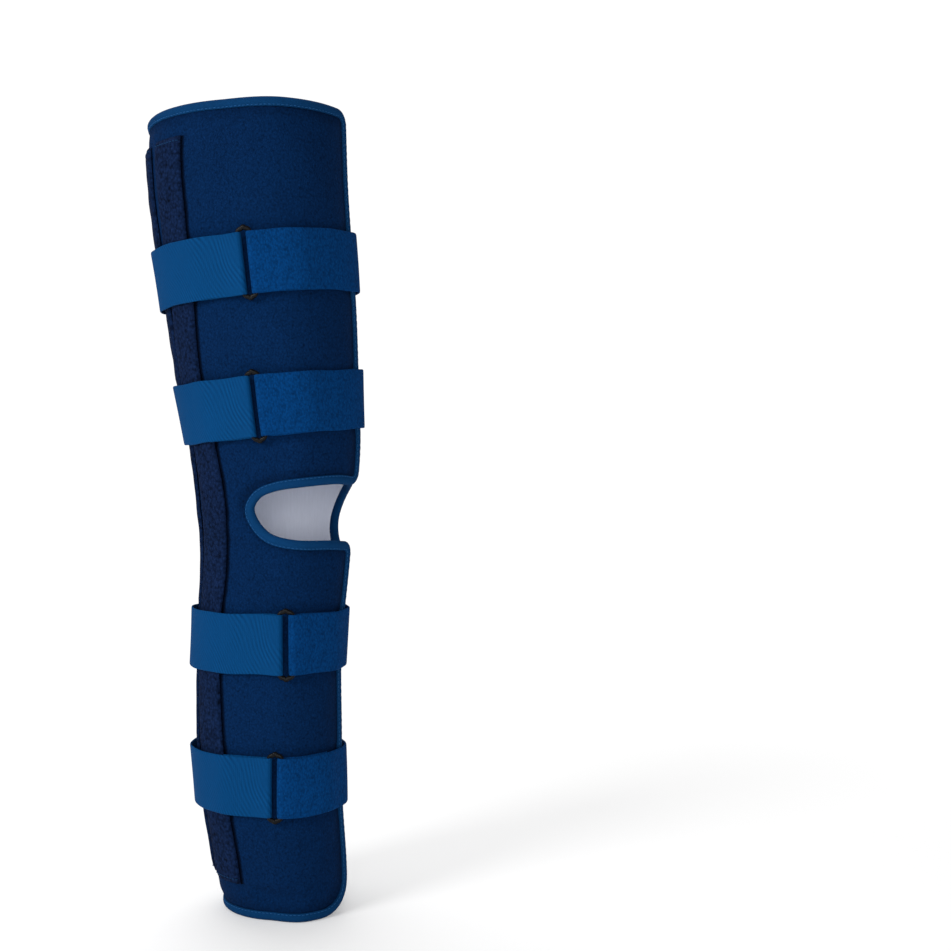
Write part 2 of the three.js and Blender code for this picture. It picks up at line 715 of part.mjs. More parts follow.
const patches = panelPatches();
add('foam_panel', thicken(patches, 0, -FOAM), velour);
add('lining', thicken(patches, -FOAM - GAP, -WALL), liningCloth);
add('binding_top', rimBinding(innerFlap.rim, outerFlap.rim), bindingTape);
add('binding_base', rimBinding(innerFlap.base, outerFlap.base), bindingTape);
add('binding_outer_edge', binding(outerFlap.edge), bindingTape);
add('binding_inner_edge', binding(innerFlap.edge), bindingTape);

const windowTop = KNEE_LEVEL + WINDOW_HEIGHT / 2 + HOOK_WINDOW_MARGIN;
const windowFoot = KNEE_LEVEL - WINDOW_HEIGHT / 2 - HOOK_WINDOW_MARGIN;
add('hook_strip_upper', hookStrip(windowTop, HEIGHT - HOOK_RIM_MARGIN, 0, HOOK_END_DROP), hookTape);
add('hook_strip_lower', hookStrip(HOOK_RIM_MARGIN, windowFoot, HOOK_END_DROP, 0), hookTape);

for (const sleeve of SLEEVES) add(sleeve.name, staySleeve(sleeve), sleeveCloth);

STRAPS.forEach((strap, index) => {
  const lower = strapLine(strap, -STRAP_WIDTH / 2);
  const upper = strapLine(strap, STRAP_WIDTH / 2);
  const tapeLength = lower.distanceTo(TAPE_END_TURN);
  const bandLength = lower.total - lower.distanceTo(TAB_TURN) - STRAP_WIDTH / 2;
  const overTape = TAPE_THICKNESS + SOFT_GAP;
  const step = lower.total / STRAP_STEPS;
  const ramp = lower.total - tapeLength - step;
  const climb = (distance) => overTape * smooth((distance - ramp + 2 * step) / (2 * step));
  const bandRoute = foldRoute(BAND_THICKNESS, -1, bandLength, step, climb);
  const tapeRoute = foldRoute(TAPE_THICKNESS, 1, tapeLength, step, () => 0);
  add(`strap_band_${index + 1}`, band(lower, upper, bandRoute, BAND_THICKNESS, true), webbing);
  add(`loop_tape_${index + 1}`, band(lower, upper, tapeRoute, TAPE_THICKNESS, false), loopTape);
  add(`ring_${index + 1}`, wireRing(lower, upper), wire);
});

// The origin is the middle of the object's box, on the surface that it stands on.
const box = new THREE.Box3().setFromObject(wrap);
const middle = box.getCenter(new THREE.Vector3());
const group = new THREE.Group();
group.position.set(-middle.x, -middle.y, -box.min.z);
group.add(wrap);

export default group;
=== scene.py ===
"""A knee immobilizer: a velour-faced foam wrap with bound edges, stay sleeves and strap closures.

Metres, +Z up. The front of the leg is -Y and its outer side is -X.
A turn is an angle in degrees round the leg: 0 at the front, 90 at the inner side, 270 at the outer side.
"""

import math

import bmesh
import bpy
import numpy as np
from bpy.props import FloatProperty, FloatVectorProperty, PointerProperty
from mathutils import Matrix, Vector
from mathutils.kdtree import KDTree


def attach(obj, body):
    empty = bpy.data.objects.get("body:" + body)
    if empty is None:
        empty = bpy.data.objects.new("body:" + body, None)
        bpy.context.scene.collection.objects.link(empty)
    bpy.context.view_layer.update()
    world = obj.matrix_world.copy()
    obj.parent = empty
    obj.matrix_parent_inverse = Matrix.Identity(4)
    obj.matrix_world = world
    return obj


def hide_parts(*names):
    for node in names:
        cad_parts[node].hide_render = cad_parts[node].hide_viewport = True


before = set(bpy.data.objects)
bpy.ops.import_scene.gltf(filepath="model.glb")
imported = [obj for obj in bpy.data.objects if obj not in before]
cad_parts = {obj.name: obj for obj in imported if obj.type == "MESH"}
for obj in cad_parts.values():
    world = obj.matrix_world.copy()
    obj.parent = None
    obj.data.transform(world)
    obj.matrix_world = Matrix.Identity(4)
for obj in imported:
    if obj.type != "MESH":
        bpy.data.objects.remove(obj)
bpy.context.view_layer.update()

bl_info = {
    "name": "Knee immobilizer",
    "version": (1, 0, 0),
    "blender": (4, 5, 0),
    "location": "3D View > Sidebar > Knee immobilizer",
    "description": "Builds the padding, cloth, straps and rings of a knee immobilizer over its packed solids",
    "category": "Object",
}

FULL_HEIGHT = 0.680

# Where the middle of the wrap's base stands on the floor, and the turn that the top leans to.
BASE_MIDDLE = np.array((0.016978, -0.012681))
LEAN_TURN = 225
# A spot inside the wrap, from which its faces point away.
FACE_FROM = Vector((0.004978, -0.000681, 0.34))

# Sections from the base to the top rim: share of the height, share of the lean, share of the top width.
SECTION_UP = np.array((0, 0.065, 0.18, 0.33, 0.45, 0.515, 0.58, 0.64, 0.745, 0.9, 1))
SECTION_LEAN = np.array((0, 0.16, 0.375, 0.375, 0.2, 0.165, 0.195, 0.33, 0.55, 0.895, 0.98))
SECTION_WIDTH = np.array((0.592, 0.638, 0.683, 0.69, 0.71, 0.762, 0.812, 0.857, 0.915, 0.965, 0.97))

# Turns between which the front flap climbs over the rear one.
LAP_START_TURN = 300
LAP_END_TURN = 336

# Flaps. way: sense in which turns run into the flap. rows: share of the notch's length, then its
# edges above and below the knee as shares of the window's height. corners: rim, base and window.
OUTER_FLAP = {
    "edge": 382,
    "way": -1,
    "rows": ((0.3, 0.44, 0.43), (0.62, 0.4, 0.4), (0.82, 0.34, 0.3), (0.95, 0.24, 0.1)),
    "mouth": (0.41, 0.46),
    "tip": 0.08,
    "corners": (0.013, 0.030, 0.012),
}
INNER_FLAP = {
    "edge": -20,
    "way": 1,
    "rows": ((0.4, 0.47, 0.56), (0.74, 0.36, 0.63), (0.89, 0.23, 0.52), (0.97, 0.06, 0.34)),
    "mouth": (0.5, 0.54),
    "tip": -0.14,
    "corners": (0.012, 0.012, 0.012),
}

# The tape's section: share of its width in from the edge, and how far it lies under the wall's face.
TAPE_PROFILE = (
    (1, 0.0013), (0.97, 0.0005), (0.86, 0.0008), (0.74, 0.0002), (0.55, -0.0003),
    (0.35, -0.0001), (0.18, 0.0006), (0.06, 0.0016), (0, 0.0028),
)

# How far in from the cut edge the panel's face ends, under the binding tape.
SEAM_INSET = 0.0068
# Lengths round the back that the panel's cells and the rims' steps are counted for.
BACK_RUN = 0.40
RIM_RUN = 0.36

# How much lower the top rim is at the outer back than at the front, the share of the height where that
# starts, and the turn where the rim stays level.
RIM_SAG = 0.008
SAG_START = 0.85
SAG_LEVEL_TURN = 20

# Thickness of the foam where it is drawn down, over its full thickness.
THIN_SHARE = 0.45

# Frames of the foam's swelling.
SWELL_FRAMES = 20

# The crease above the base rim: its turns, its height at the first, its fall for each degree and its reach.
CREASE_TURNS = (289, 336)
CREASE_LEVEL = 0.0235
CREASE_FALL = 0.0001
CREASE_REACH = 0.006

# Where the velour drags into shallow ripples beside the knee window.
DRAG_TURN = 292
DRAG_LEVEL = 0.345

# Sleeves: name, turn of the line they are counted from, sense toward the back, place in the row.
SLEEVES = (
    ("outer_side", 270, -1, 0),
    ("outer_back", 270, -1, 1),
    ("inner_side", 90, 1, 0),
    ("inner_back", 90, 1, 1),
)
SLEEVE_SPACE = 0.006
SLEEVE_FOOT = 0.030
SLEEVE_TOP = 0.654
SLEEVE_SEAM = 0.0042
# How far the first sleeve lies toward the front, at the heights of the sections.
SLEEVE_FORWARD = np.array((6.5, 7.5, 6, 0.8, 3, 5, 2, -3, 0.5, 8.5, 9)) / 1000

# Straps from the top down: share of the height, tilt in degrees, turn of the ring, slack at the back.
STRAPS = ((0.803, 6, -48.5, 0.03), (0.635, 6, -52.5, 0.03), (0.346, 0, -33, 0.07), (0.172, 0, -40, 0.07))
SLACK_TURN = 225
SLACK_SPREAD = 70
TILT_TURN = 45
HULL_STEPS = 240
LOOP_END_TURN = 150
TAB_TURN = 98

# Lamps: name, place, size, share of the key light's power. They look at the middle of the wrap.
LAMPS = (
    ("key", (-2.3, 0.3, 1.35), 1.0, 1),
    ("fill", (-1.3, -1.2, 0.5), 0.7, 0.24),
    ("top", (0.6, 0.9, 2.4), 2.2, 0.95),
)
# Distances between which the floor turns white for the camera, the white's share at the nearer one,
# and the strength of the white floor and background.
FLOOR_FADE = (0.45, 1.1)
FLOOR_WHITE = 0.25
WHITE_STRENGTH = 1.05
FLOOR_REACH = 40
CAMERA_PLACE = (-0.8225, -0.8532, 0.401)
CAMERA_SIGHT = (0.7997, 0.6004, -math.tan(math.radians(1.37)))


def linear(red, green, blue):
    """A colour on a scale of 255 as Blender's linear values."""
    share = [c / 255 for c in (red, green, blue)]
    return tuple(c / 12.92 if c <= 0.04045 else ((c + 0.055) / 1.055) ** 2.4 for c in share)


def number_property(name, text, default, **limits):
    return FloatProperty(name=name, description=text, default=default, **limits)


def length_property(name, text, default):
    return number_property(name, text, default, unit="LENGTH", min=0, precision=4)


def colour_property(name, text, red, green, blue):
    return FloatVectorProperty(
        name=name, description=text, default=linear(red, green, blue), subtype="COLOR", size=3, min=0, max=1
    )


class WrapSizes(bpy.types.PropertyGroup):
    height: length_property("Height", "From the base rim to the top rim", FULL_HEIGHT)
    top_width: length_property("Top width", "Mean width of the wrap at its top rim", 0.170)
    depth_share: number_property("Depth share", "Depth of a section over its width", 1.04)
    lean: length_property("Lean", "How far the top leans to the outer back", 0.0305)
    knee_level: length_property("Knee level", "Height of the window's middle", 0.343)
    foam: length_property("Foam", "Thickness of the foam with its velour face", 0.005)
    lining: length_property("Lining", "Thickness of the inner lining", 0.001)
    tape_width: length_property("Binding width", "Width of the binding tape on each face", 0.008)
    gap: length_property("Gap", "Clearance between sewn layers", 0.0003)
    soft_gap: length_property("Soft gap", "Clearance between layers that lie on each other", 0.0008)
    window_height: length_property("Window height", "Height of the knee window", 0.054)
    outer_notch: length_property("Front notch", "How far the window is cut into the front flap", 0.094)
    inner_notch: length_property("Rear notch", "How far the window is cut into the rear flap", 0.098)
    hook_thickness: length_property("Hook tape", "Thickness of the hook tape", 0.0014)
    hook_shown: length_property("Hook shown", "Width of hook tape past the front flap's edge", 0.018)
    sleeve_width: length_property("Sleeve width", "Width of a stay sleeve", 0.034)
    sleeve_thickness: length_property("Sleeve thickness", "How far a stay sleeve stands proud", 0.0026)
    swell: length_property("Swell", "The most that the foam swells between straps and seams", 0.0026)
    cells: length_property("Cell", "Size of the panel's cells before they are smoothed", 0.0056)


class StrapSizes(bpy.types.PropertyGroup):
    width: length_property("Width", "Width of each strap", 0.050)
    band: length_property("Webbing", "Thickness of the webbing", 0.0016)
    loop: length_property("Loop tape", "Thickness of the loop tape", 0.0022)
    wire: length_property("Wire", "Thickness of a ring's wire", 0.003)
    ring_width: length_property("Ring width", "Width of a ring along the strap", 0.0142)
    past: length_property("Ring past strap", "How far a ring reaches past the strap's edge", 0.005)
    fold: length_property("Fold", "Length that is folded back under each strap", 0.040)
    ease: length_property("Fold ease", "Length in which a fold closes behind the wire", 0.014)
    cells: length_property("Cell", "Spacing of a strap's sections before they are rounded", 0.005)


class ClothColours(bpy.types.PropertyGroup):
    velour: colour_property("Velour", "Face of the foam panel", 3, 29, 63)
    lining: colour_property("Lining", "Inner lining", 230, 234, 246)
    binding: colour_property("Binding", "Binding tape", 7, 49, 89)
    thread: colour_property("Thread", "Stitching", 30, 78, 128)
    sleeve: colour_property("Sleeve", "Stay sleeves", 7, 20, 44)
    webbing: colour_property("Webbing", "Smooth part of the straps", 3, 56, 101)
    loop: colour_property("Loop tape", "Fuzzy part of the straps", 2, 47, 94)
    hook: colour_property("Hook tape", "Strips on the inside of the front flap", 10, 58, 96)
    wire: colour_property("Wire", "Rings", 5, 5, 7)


class StageSettings(bpy.types.PropertyGroup):
    floor: colour_property("Floor", "Floor and background", 249, 249, 249)
    key_power: number_property("Key light", "Power of the large lamp", 38, subtype="POWER")
    sky: number_property("Surround", "Strength of the even light", 0.46, min=0)
    lens: number_property("Lens", "Focal length in millimetres", 51.25, min=1)


def smooth(share):
    t = np.clip(share, 0, 1)
    return t * t * (3 - 2 * t)


def unit(vectors):
    return vectors / np.linalg.norm(vectors, axis=-1)[..., None]


def paired(*columns):
    """Values side by side in a new last axis, each spread to the same shape."""
    return np.stack(np.broadcast_arrays(*columns), -1)


def far_along(points):
    """Length from the first of some points to each."""
    return np.append(0, np.cumsum(np.linalg.norm(np.diff(points, axis=0), axis=1)))


def hermite(t, start, end, enter, leave):
    """A cubic from start to end, with its slopes at both."""
    t2, t3 = t * t, t * t * t
    line = (2 * t3 - 3 * t2 + 1) * start + (3 * t2 - 2 * t3) * end
    return line + (t3 - 2 * t2 + t) * enter + (t3 - t2) * leave


def along(values, share):
    """A smooth curve through a column of the section table, read at shares of the height."""
    up = SECTION_UP
    share = np.asarray(share, float)
    i = np.clip(np.searchsorted(up, share, side="right") - 1, 0, len(up) - 2)
    before, after = np.maximum(i - 1, 0), np.minimum(i + 2, len(up) - 1)
    span = up[i + 1] - up[i]
    enter = (values[i + 1] - values[before]) / (up[i + 1] - up[before]) * span
    leave = (values[after] - values[i]) / (up[after] - up[i]) * span
    return hermite((share - up[i]) / span, values[i], values[i + 1], enter, leave)


def heading(turn):
    angle = np.radians(turn)
    return paired(np.sin(angle), -np.cos(angle))


def notch_line(knots, shares):
    """A smooth line through knots, eased where they lie unevenly."""
    knots = np.asarray(knots, float)
    ends = np.vstack([2 * knots[0] - knots[1], knots, 2 * knots[-1] - knots[-2]])
    at = np.clip(np.asarray(shares) * (len(knots) - 1), 0, len(knots) - 1 - 1e-9)
    i = at.astype(int)
    p = [ends[i + k] for k in range(4)]
    first, gap, last = (np.sqrt(np.linalg.norm(p[k + 1] - p[k], axis=1))[:, None] for k in range(3))
    enter = (p[1] - p[0]) / first - (p[2] - p[0]) / (first + gap) + (p[2] - p[1]) / gap
    leave = (p[2] - p[1]) / gap - (p[3] - p[1]) / (gap + last) + (p[3] - p[2]) / last
    return hermite((at - i)[:, None], p[1], p[2], enter * gap, leave * gap)


class Wrap:
    """The wrap's form, worked out from its sizes."""

    def __init__(self, sizes):
        self.s = sizes
        self.wall = sizes.foam + sizes.gap + sizes.lining
        self.lap_height = self.wall + sizes.hook_thickness + 2 * sizes.soft_gap

    def axis(self, z):
        return heading(LEAN_TURN) * (self.s.lean * along(SECTION_LEAN, z / self.s.height))[..., None]

    def girth(self, z):
        return self.s.top_width / 2 * along(SECTION_WIDTH, z / self.s.height)

    def radius(self, turn, z):
        across = self.girth(z) / math.sqrt((1 + self.s.depth_share**2) / 2)
        out = heading(turn)
        return 1 / np.hypot(out[..., 0] / across, out[..., 1] / (across * self.s.depth_share))

    def lift(self, turn):
        return self.lap_height * smooth((turn - LAP_START_TURN) / (LAP_END_TURN - LAP_START_TURN))

    def waves(self, turn, z):
        """Slow unevenness of the whole wall, in metres."""
        a = np.radians(turn)
        first = np.sin(2 * a + 31 * z) * np.sin(17 * z + 0.6)
        second = np.sin(3 * a - 23 * z + 1.1) * np.sin(29 * z + 2 * a)
        return 0.00055 * first + 0.00045 * second

    def place(self, turn, z, depth):
        """Points of the wall: depth 0 is the velour face, and inward is negative."""
        turn, z, depth = np.broadcast_arrays(*(np.asarray(v, float) for v in (turn, z, depth)))
        out = self.radius(turn, z) + self.lift(turn) + depth + self.waves(turn, z)
        plan = self.axis(z) + heading(turn) * out[..., None] + BASE_MIDDLE
        sag = smooth((z / self.s.height - SAG_START) / (1 - SAG_START))
        sag = sag * (1 - np.cos(np.radians(turn - SAG_LEVEL_TURN))) / 2
        return np.concatenate([plan, (z - RIM_SAG * sag)[..., None]], -1)

    def degrees_for(self, length, z):
        return np.degrees(length / self.girth(z))

    def flap_turn(self, flap, inward, z):
        return flap["edge"] + flap["way"] * self.degrees_for(inward, z)

    def outline(self, flap, cell, corner_steps):
        """A flap's outline from the notch's depth on the rim to its depth on the base."""
        s = self.s
        notch = s.outer_notch if flap is OUTER_FLAP else s.inner_notch
        rim_corner, base_corner, window_corner = flap["corners"]
        free = max(4, round(notch / cell))
        level = lambda share: s.knee_level + share * s.window_height

        def corner(radius, height, sense):
            angle = np.linspace(0, math.pi / 2, corner_steps + 1)
            return paired(radius * (1 - np.cos(angle)), height - sense * radius * (1 - np.sin(angle)))

        def run(radius, height):
            return paired(np.linspace(radius, notch, free + 1)[1:], height)

        above, below = level(flap["mouth"][0]), level(-flap["mouth"][1])
        knots = [(window_corner, above)]
        knots += [(row[0] * notch, level(row[1])) for row in flap["rows"]]
        knots += [(notch, level(flap["tip"]))]
        knots += [(row[0] * notch, level(-row[2])) for row in reversed(flap["rows"])]
        knots += [(window_corner, below)]
        rim = np.vstack([corner(rim_corner, s.height, 1), run(rim_corner, s.height)])
        base = np.vstack([corner(base_corner, 0, -1), run(base_corner, 0)])
        shares = np.linspace(0, 0.5, free + 1)[1:]
        notch_above = np.vstack([corner(window_corner, above, -1), notch_line(knots, shares)])
        notch_below = np.vstack([corner(window_corner, below, 1), notch_line(knots, 1 - shares)])

        def upright(start, end, rows):
            return paired(0, np.linspace(start, end, rows + 1)[1:-1])

        rows_above = round((rim[0, 1] - notch_above[0, 1]) / cell)
        rows_below = round((notch_below[0, 1] - base[0, 1]) / cell)
        parts = [
            rim[::-1],
            upright(rim[0, 1], notch_above[0, 1], rows_above),
            notch_above,
            notch_below[:-1][::-1],
            upright(notch_below[0, 1], base[0, 1], rows_below),
            base,
        ]
        starts = np.cumsum([0] + [len(p) for p in parts])
        line = np.vstack(parts)
        run_on = np.roll(line, -1, 0) - np.roll(line, 1, 0)
        side = paired(-run_on[:, 1], run_on[:, 0])
        side[0], side[-1] = (0, -1), (0, 1)
        side = unit(side)
        columns = {
            "top": np.arange(starts[1] - 1, -1, -1),
            "above": np.arange(starts[2], starts[3]),
            "below": np.append(np.arange(starts[4] - 1, starts[3] - 1, -1), starts[3] - 1),
            "foot": np.arange(starts[5], starts[6]),
        }
        return line, side, columns

    def on_wall(self, flap, line):
        """Turn and height of each point of a flap's line."""
        return paired(self.flap_turn(flap, line[..., 0], line[..., 1]), line[..., 1])

    def perimeter(self, cell, corner_steps, inset):
        """The whole cut edge as one closed line, and the same line set in from it."""
        sides = []
        for flap in (OUTER_FLAP, INNER_FLAP):
            line, side, _ = self.outline(flap, cell, corner_steps)
            sides.append((self.on_wall(flap, line), self.on_wall(flap, line + side * inset)))
        (outer, outer_in), (inner, inner_in) = sides
        inner, inner_in = inner[::-1], inner_in[::-1]
        steps = round(RIM_RUN / cell)

        def closed(a, b):
            rims = [np.linspace(start, end, steps + 1)[1:-1] for start, end in ((a[-1], b[0]), (b[-1], a[0]))]
            return np.vstack([a, rims[0], b, rims[1]])

        return closed(outer, inner), closed(outer_in, inner_in)

    def patches(self, cell, corner_steps, inset):
        """Grids of turn and height that cover the panel inside its edge."""
        flaps = []
        for flap in (INNER_FLAP, OUTER_FLAP):
            line, side, columns = self.outline(flap, cell, corner_steps)
            line = line + side * inset
            flaps.append((flap, {key: line[at] for key, at in columns.items()}))
        rows_above = round((self.s.height - self.s.knee_level) / cell)
        rows_below = round(self.s.knee_level / cell)

        def fill(flap, start, end, rows):
            return self.on_wall(flap, np.linspace(start, end, rows + 1, axis=1))

        upper = [fill(flap, c["above"], c["top"], rows_above) for flap, c in flaps]
        lower = [fill(flap, c["foot"], c["below"], rows_below) for flap, c in flaps]
        back = [np.linspace(a[-1], b[-1], round(BACK_RUN / cell) + 1) for a, b in (upper, lower)]
        return upper + lower + back

    def edge_distance(self, spots, cell):
        """How far each {turn, height} spot lies from the cut edge, over the surface."""
        edge, _ = self.perimeter(cell / 2, 8, 0.001)
        flat = lambda p: paired(np.radians(p[..., 0]) * self.girth(p[..., 1]), p[..., 1])
        tree = KDTree(len(edge))
        for i, (x, z) in enumerate(flat(edge)):
            tree.insert((x, z, 0), i)
        tree.balance()
        return np.array([tree.find((x, z, 0))[2] for x, z in flat(spots)])

    def strap_cover(self, turn, z, width, margin):
        """1 under a strap, fading to 0 within the margin beside it."""
        cover = np.zeros_like(z)
        for up, tilt, _, _ in STRAPS:
            middle = up * self.s.height
            level = middle + self.tilt_at(tilt, middle, turn)
            beside = np.abs(z - level) - width / 2
            cover = np.maximum(cover, 1 - smooth(beside / margin))
        return cover

    def tilt_at(self, tilt, middle, turn):
        return math.tan(math.radians(tilt)) * self.girth(middle) * np.cos(np.radians(turn - TILT_TURN))

    def sleeve_start(self, sleeve, z):
        """Length from a sleeve's line back to its near edge."""
        return sleeve[3] * (self.s.sleeve_width + SLEEVE_SPACE) + sleeve_wander(z, sleeve)

    def sleeve_turn(self, sleeve, across, z):
        """Turn of a spot across a sleeve, in metres from its near edge."""
        return sleeve[1] + sleeve[2] * self.degrees_for(self.sleeve_start(sleeve, z) + across, z)

    def sleeve_cover(self, turn, z, margin):
        """1 under a sleeve, fading to 0 within the margin beside it."""
        cover = np.zeros_like(z)
        for sleeve in SLEEVES:
            _, side, way, _ = sleeve
            inside = np.radians((turn - side) * way) * self.girth(z) - self.sleeve_start(sleeve, z)
            beside = np.maximum(-inside, inside - self.s.sleeve_width)
            cover = np.maximum(cover, 1 - smooth(beside / margin))
        return cover


def convex_outline(spots):
    """Indices of the corners of the convex outline of plan points."""
    order = sorted(range(len(spots)), key=lambda i: tuple(spots[i]))

    def half(list_of):
        hull = []
        for i in list_of:
            while len(hull) > 1:
                a, b = spots[hull[-1]] - spots[hull[-2]], spots[i] - spots[hull[-2]]
                if a[0] * b[1] - a[1] * b[0] > 0:
                    break
                hull.pop()
            hull.append(i)
        return hull[:-1]

    return half(order) + half(order[::-1])


class StrapLine:
    """One edge of a strap: the taut line round the wrap at its height, measured from the ring."""

    def __init__(self, wrap, strap, rise, width):
        up, self.tilt, self.ring, slack = strap
        self.wrap, self.rise = wrap, rise
        slope = -math.tan(math.radians(self.tilt)) * math.sin(math.radians(self.ring - TILT_TURN))
        self.square = rise * slope
        self.middle = up * wrap.s.height
        centre = wrap.axis(np.array(self.middle))
        turns = np.arange(HULL_STEPS) * 360 / HULL_STEPS
        spots = heading(turns) * self.reach(turns)[:, None] + wrap.axis(self.height_at(turns)) - centre
        hull = spots[convex_outline(spots)]
        taut = np.array([self.cut(hull, ray) for ray in heading(turns)])
        radius = self.evened(np.maximum(self.evened(taut), taut))
        away = np.abs((turns - SLACK_TURN + 540) % 360 - 180) / SLACK_SPREAD
        radius += wrap.s.soft_gap + slack * width * (1 - smooth(away))
        walk = (self.ring + turns) % 360
        out = np.interp(walk, turns, radius, period=360)
        self.line = heading(walk) * out[:, None] + centre + BASE_MIDDLE
        self.turns = self.ring + 360 + turns
        self.far = far_along(np.vstack([self.line, self.line[:1]]))
        self.total = self.far[-1]
        run = np.roll(self.line, -1, 0) - np.roll(self.line, 1, 0)
        self.normal = unit(paired(run[:, 1], -run[:, 0]))

    def height_at(self, turn):
        return self.middle + self.wrap.tilt_at(self.tilt, self.middle, turn) + self.rise

    def reach(self, turn):
        """How far the wrap, its lap and its sleeves stand from the axis."""
        w = self.wrap
        z = self.height_at(turn)
        lift = np.where(turn > LAP_START_TURN, w.lift(turn), 0)
        front = turn + 360
        step = 2 * 360 / HULL_STEPS
        edge = OUTER_FLAP["edge"] + step
        on_hook = front <= edge + w.degrees_for(w.s.hook_shown, z)
        lift = np.where(on_hook, np.maximum(lift, w.lap_height - w.wall), lift)
        lift = np.where(front <= edge, np.maximum(lift, w.lift(front)), lift)
        for sleeve in SLEEVES:
            _, side, way, _ = sleeve
            into = (turn - side) * way - w.degrees_for(w.sleeve_start(sleeve, z), z)
            inside = (into >= -step) & (into <= w.degrees_for(w.s.sleeve_width, z) + step)
            lift = np.where(inside, w.s.soft_gap + w.s.sleeve_thickness, lift)
        return w.radius(turn, z) + lift

    @staticmethod
    def evened(radius):
        """Radii averaged over a few degrees to either side."""
        span = HULL_STEPS // 60
        return np.mean([np.roll(radius, k) for k in range(-span, span + 1)], 0)

    @staticmethod
    def cut(hull, ray):
        a, b = hull, np.roll(hull, -1, 0)
        side = b - a
        bottom = ray[0] * side[:, 1] - ray[1] * side[:, 0]
        out = (a[:, 0] * side[:, 1] - a[:, 1] * side[:, 0]) / bottom
        share = (a[:, 0] * ray[1] - a[:, 1] * ray[0]) / bottom
        hit = (out > 0) & (share >= -1e-9) & (share <= 1 + 1e-9)
        return out[hit].max()

    def at(self, distance, off):
        wrapped = (np.asarray(distance, float) - self.square) % self.total
        read = lambda pairs: paired(*(np.interp(wrapped, self.far, np.append(v, v[0])) for v in pairs.T))
        spot, normal = read(self.line), unit(read(self.normal))
        turn = np.interp(wrapped, self.far, np.append(self.turns, self.turns[0] + 360))
        plan = spot + normal * np.asarray(off)[..., None]
        return np.concatenate([plan, self.height_at(turn)[..., None]], -1)

    def distance_to(self, turn):
        steps = np.arange(HULL_STEPS + 1) * 360 / HULL_STEPS
        return float(np.interp((turn - self.ring) % 360, steps, self.far))


def strap_edges(wrap, strap, width):
    return StrapLine(wrap, strap, -width / 2, width), StrapLine(wrap, strap, width / 2, width)


def fold_route(sizes, gap, thickness, way, length, lifts):
    """A strap's route as {along, off} spots: folded under, round the ring's bar, and on over."""
    bar = (sizes.ring_width - sizes.wire) / 2
    bar_height = sizes.loop + gap + sizes.wire / 2
    under = thickness / 2
    turn_back = sizes.wire / 2 + gap + thickness / 2
    over = under + thickness + gap
    fold, returned = bar + sizes.ease, bar + sizes.fold
    mid = (bar + fold) / 2
    level = np.arange(returned, fold, -sizes.cells)
    angle = np.linspace(0, math.pi, 13)
    first = math.ceil((returned + sizes.ease) / sizes.cells) * sizes.cells
    rest = np.append(np.arange(first, length - sizes.cells / 4, sizes.cells), length)
    route = np.vstack([
        paired(level, under),
        [(fold, under), (mid, (under + bar_height - turn_back) / 2)],
        paired(bar - turn_back * np.sin(angle), bar_height - turn_back * np.cos(angle)),
        [(mid, (over + bar_height + turn_back) / 2), (fold, over)],
        paired(level[::-1][1:], over),
        paired(rest, under + lifts(rest)),
    ])
    for _ in range(2):
        quarter = 0.75 * route[:-1] + 0.25 * route[1:]
        three = 0.25 * route[:-1] + 0.75 * route[1:]
        middle = np.stack([quarter, three], 1).reshape(-1, 2)
        route = np.vstack([route[:1], middle, route[-1:]])
    return route * (way, 1)


def rounded_profile(ends, start, count):
    """Shares from edge to edge of a strip and its thickness at each, from ends of {share, thickness}."""
    near, thin = np.array(ends, float).T
    shares = np.concatenate([near, np.linspace(start, 1 - start, count), 1 - near[::-1]])
    return shares, np.concatenate([thin, np.ones(count), thin[::-1]])


def closed_sections(face, back):
    """Sections that run over the face and return under the back."""
    ring = np.concatenate([face, back[:, ::-1]], 1)
    return np.concatenate([ring, ring[:, :1]], 1)


def section_chart(lengths, across, width):
    """Lengths along and round the sections, which the weave follows."""
    sideways = np.concatenate([across, 2 - across[::-1], [2]]) * width
    return paired(lengths[:, None], sideways[None])


def strap_sections(lower, upper, route, thickness, width, tab, seed):
    """Closed sections of a strap along its route, with its map of lengths along and across."""
    end = abs(route[-1, 0])
    radius = width / 2
    if tab:
        way = math.copysign(1, route[-1, 0])
        angle = np.radians(np.linspace(6, 88, 14))
        route = np.vstack([route, paired(route[-1, 0] + way * radius * np.sin(angle), route[-1, 1])])
    past = np.clip((np.abs(route[:, 0]) - end) / radius, 0, 1)
    narrow = (1 - np.sqrt(1 - past**2)) / 2
    low, high = lower.at(route[:, 0], route[:, 1]), upper.at(route[:, 0], route[:, 1])
    low, high = low + (high - low) * narrow[:, None], high + (low - high) * narrow[:, None]
    run = np.gradient((low + high) / 2, axis=0)
    out = unit(paired(run[:, 1], -run[:, 0], 0))
    steps = far_along((low + high) / 2)
    across, thick = rounded_profile(((0, 0.25), (0.006, 0.72), (0.022, 0.96)), 0.06, 12)
    phase = seed * 1.7
    edge_wave = 0.0003 * np.sin(steps * 61 + phase) + 0.00025 * np.sin(steps * 143 + 2 * phase)
    cup = 0.00025 * np.sin(steps * 37 + phase)[:, None] * np.sin(across * math.pi)[None]
    body = low[:, None] + (high - low)[:, None] * across[None, :, None]
    body[..., 2] += edge_wave[:, None]
    shift = out[:, None] * (thickness / 2 * thick)[None, :, None]
    bow = out[:, None] * np.abs(cup)[..., None]
    ring = closed_sections(body + shift + bow, body - shift + bow)
    return ring, section_chart(steps, across, width)


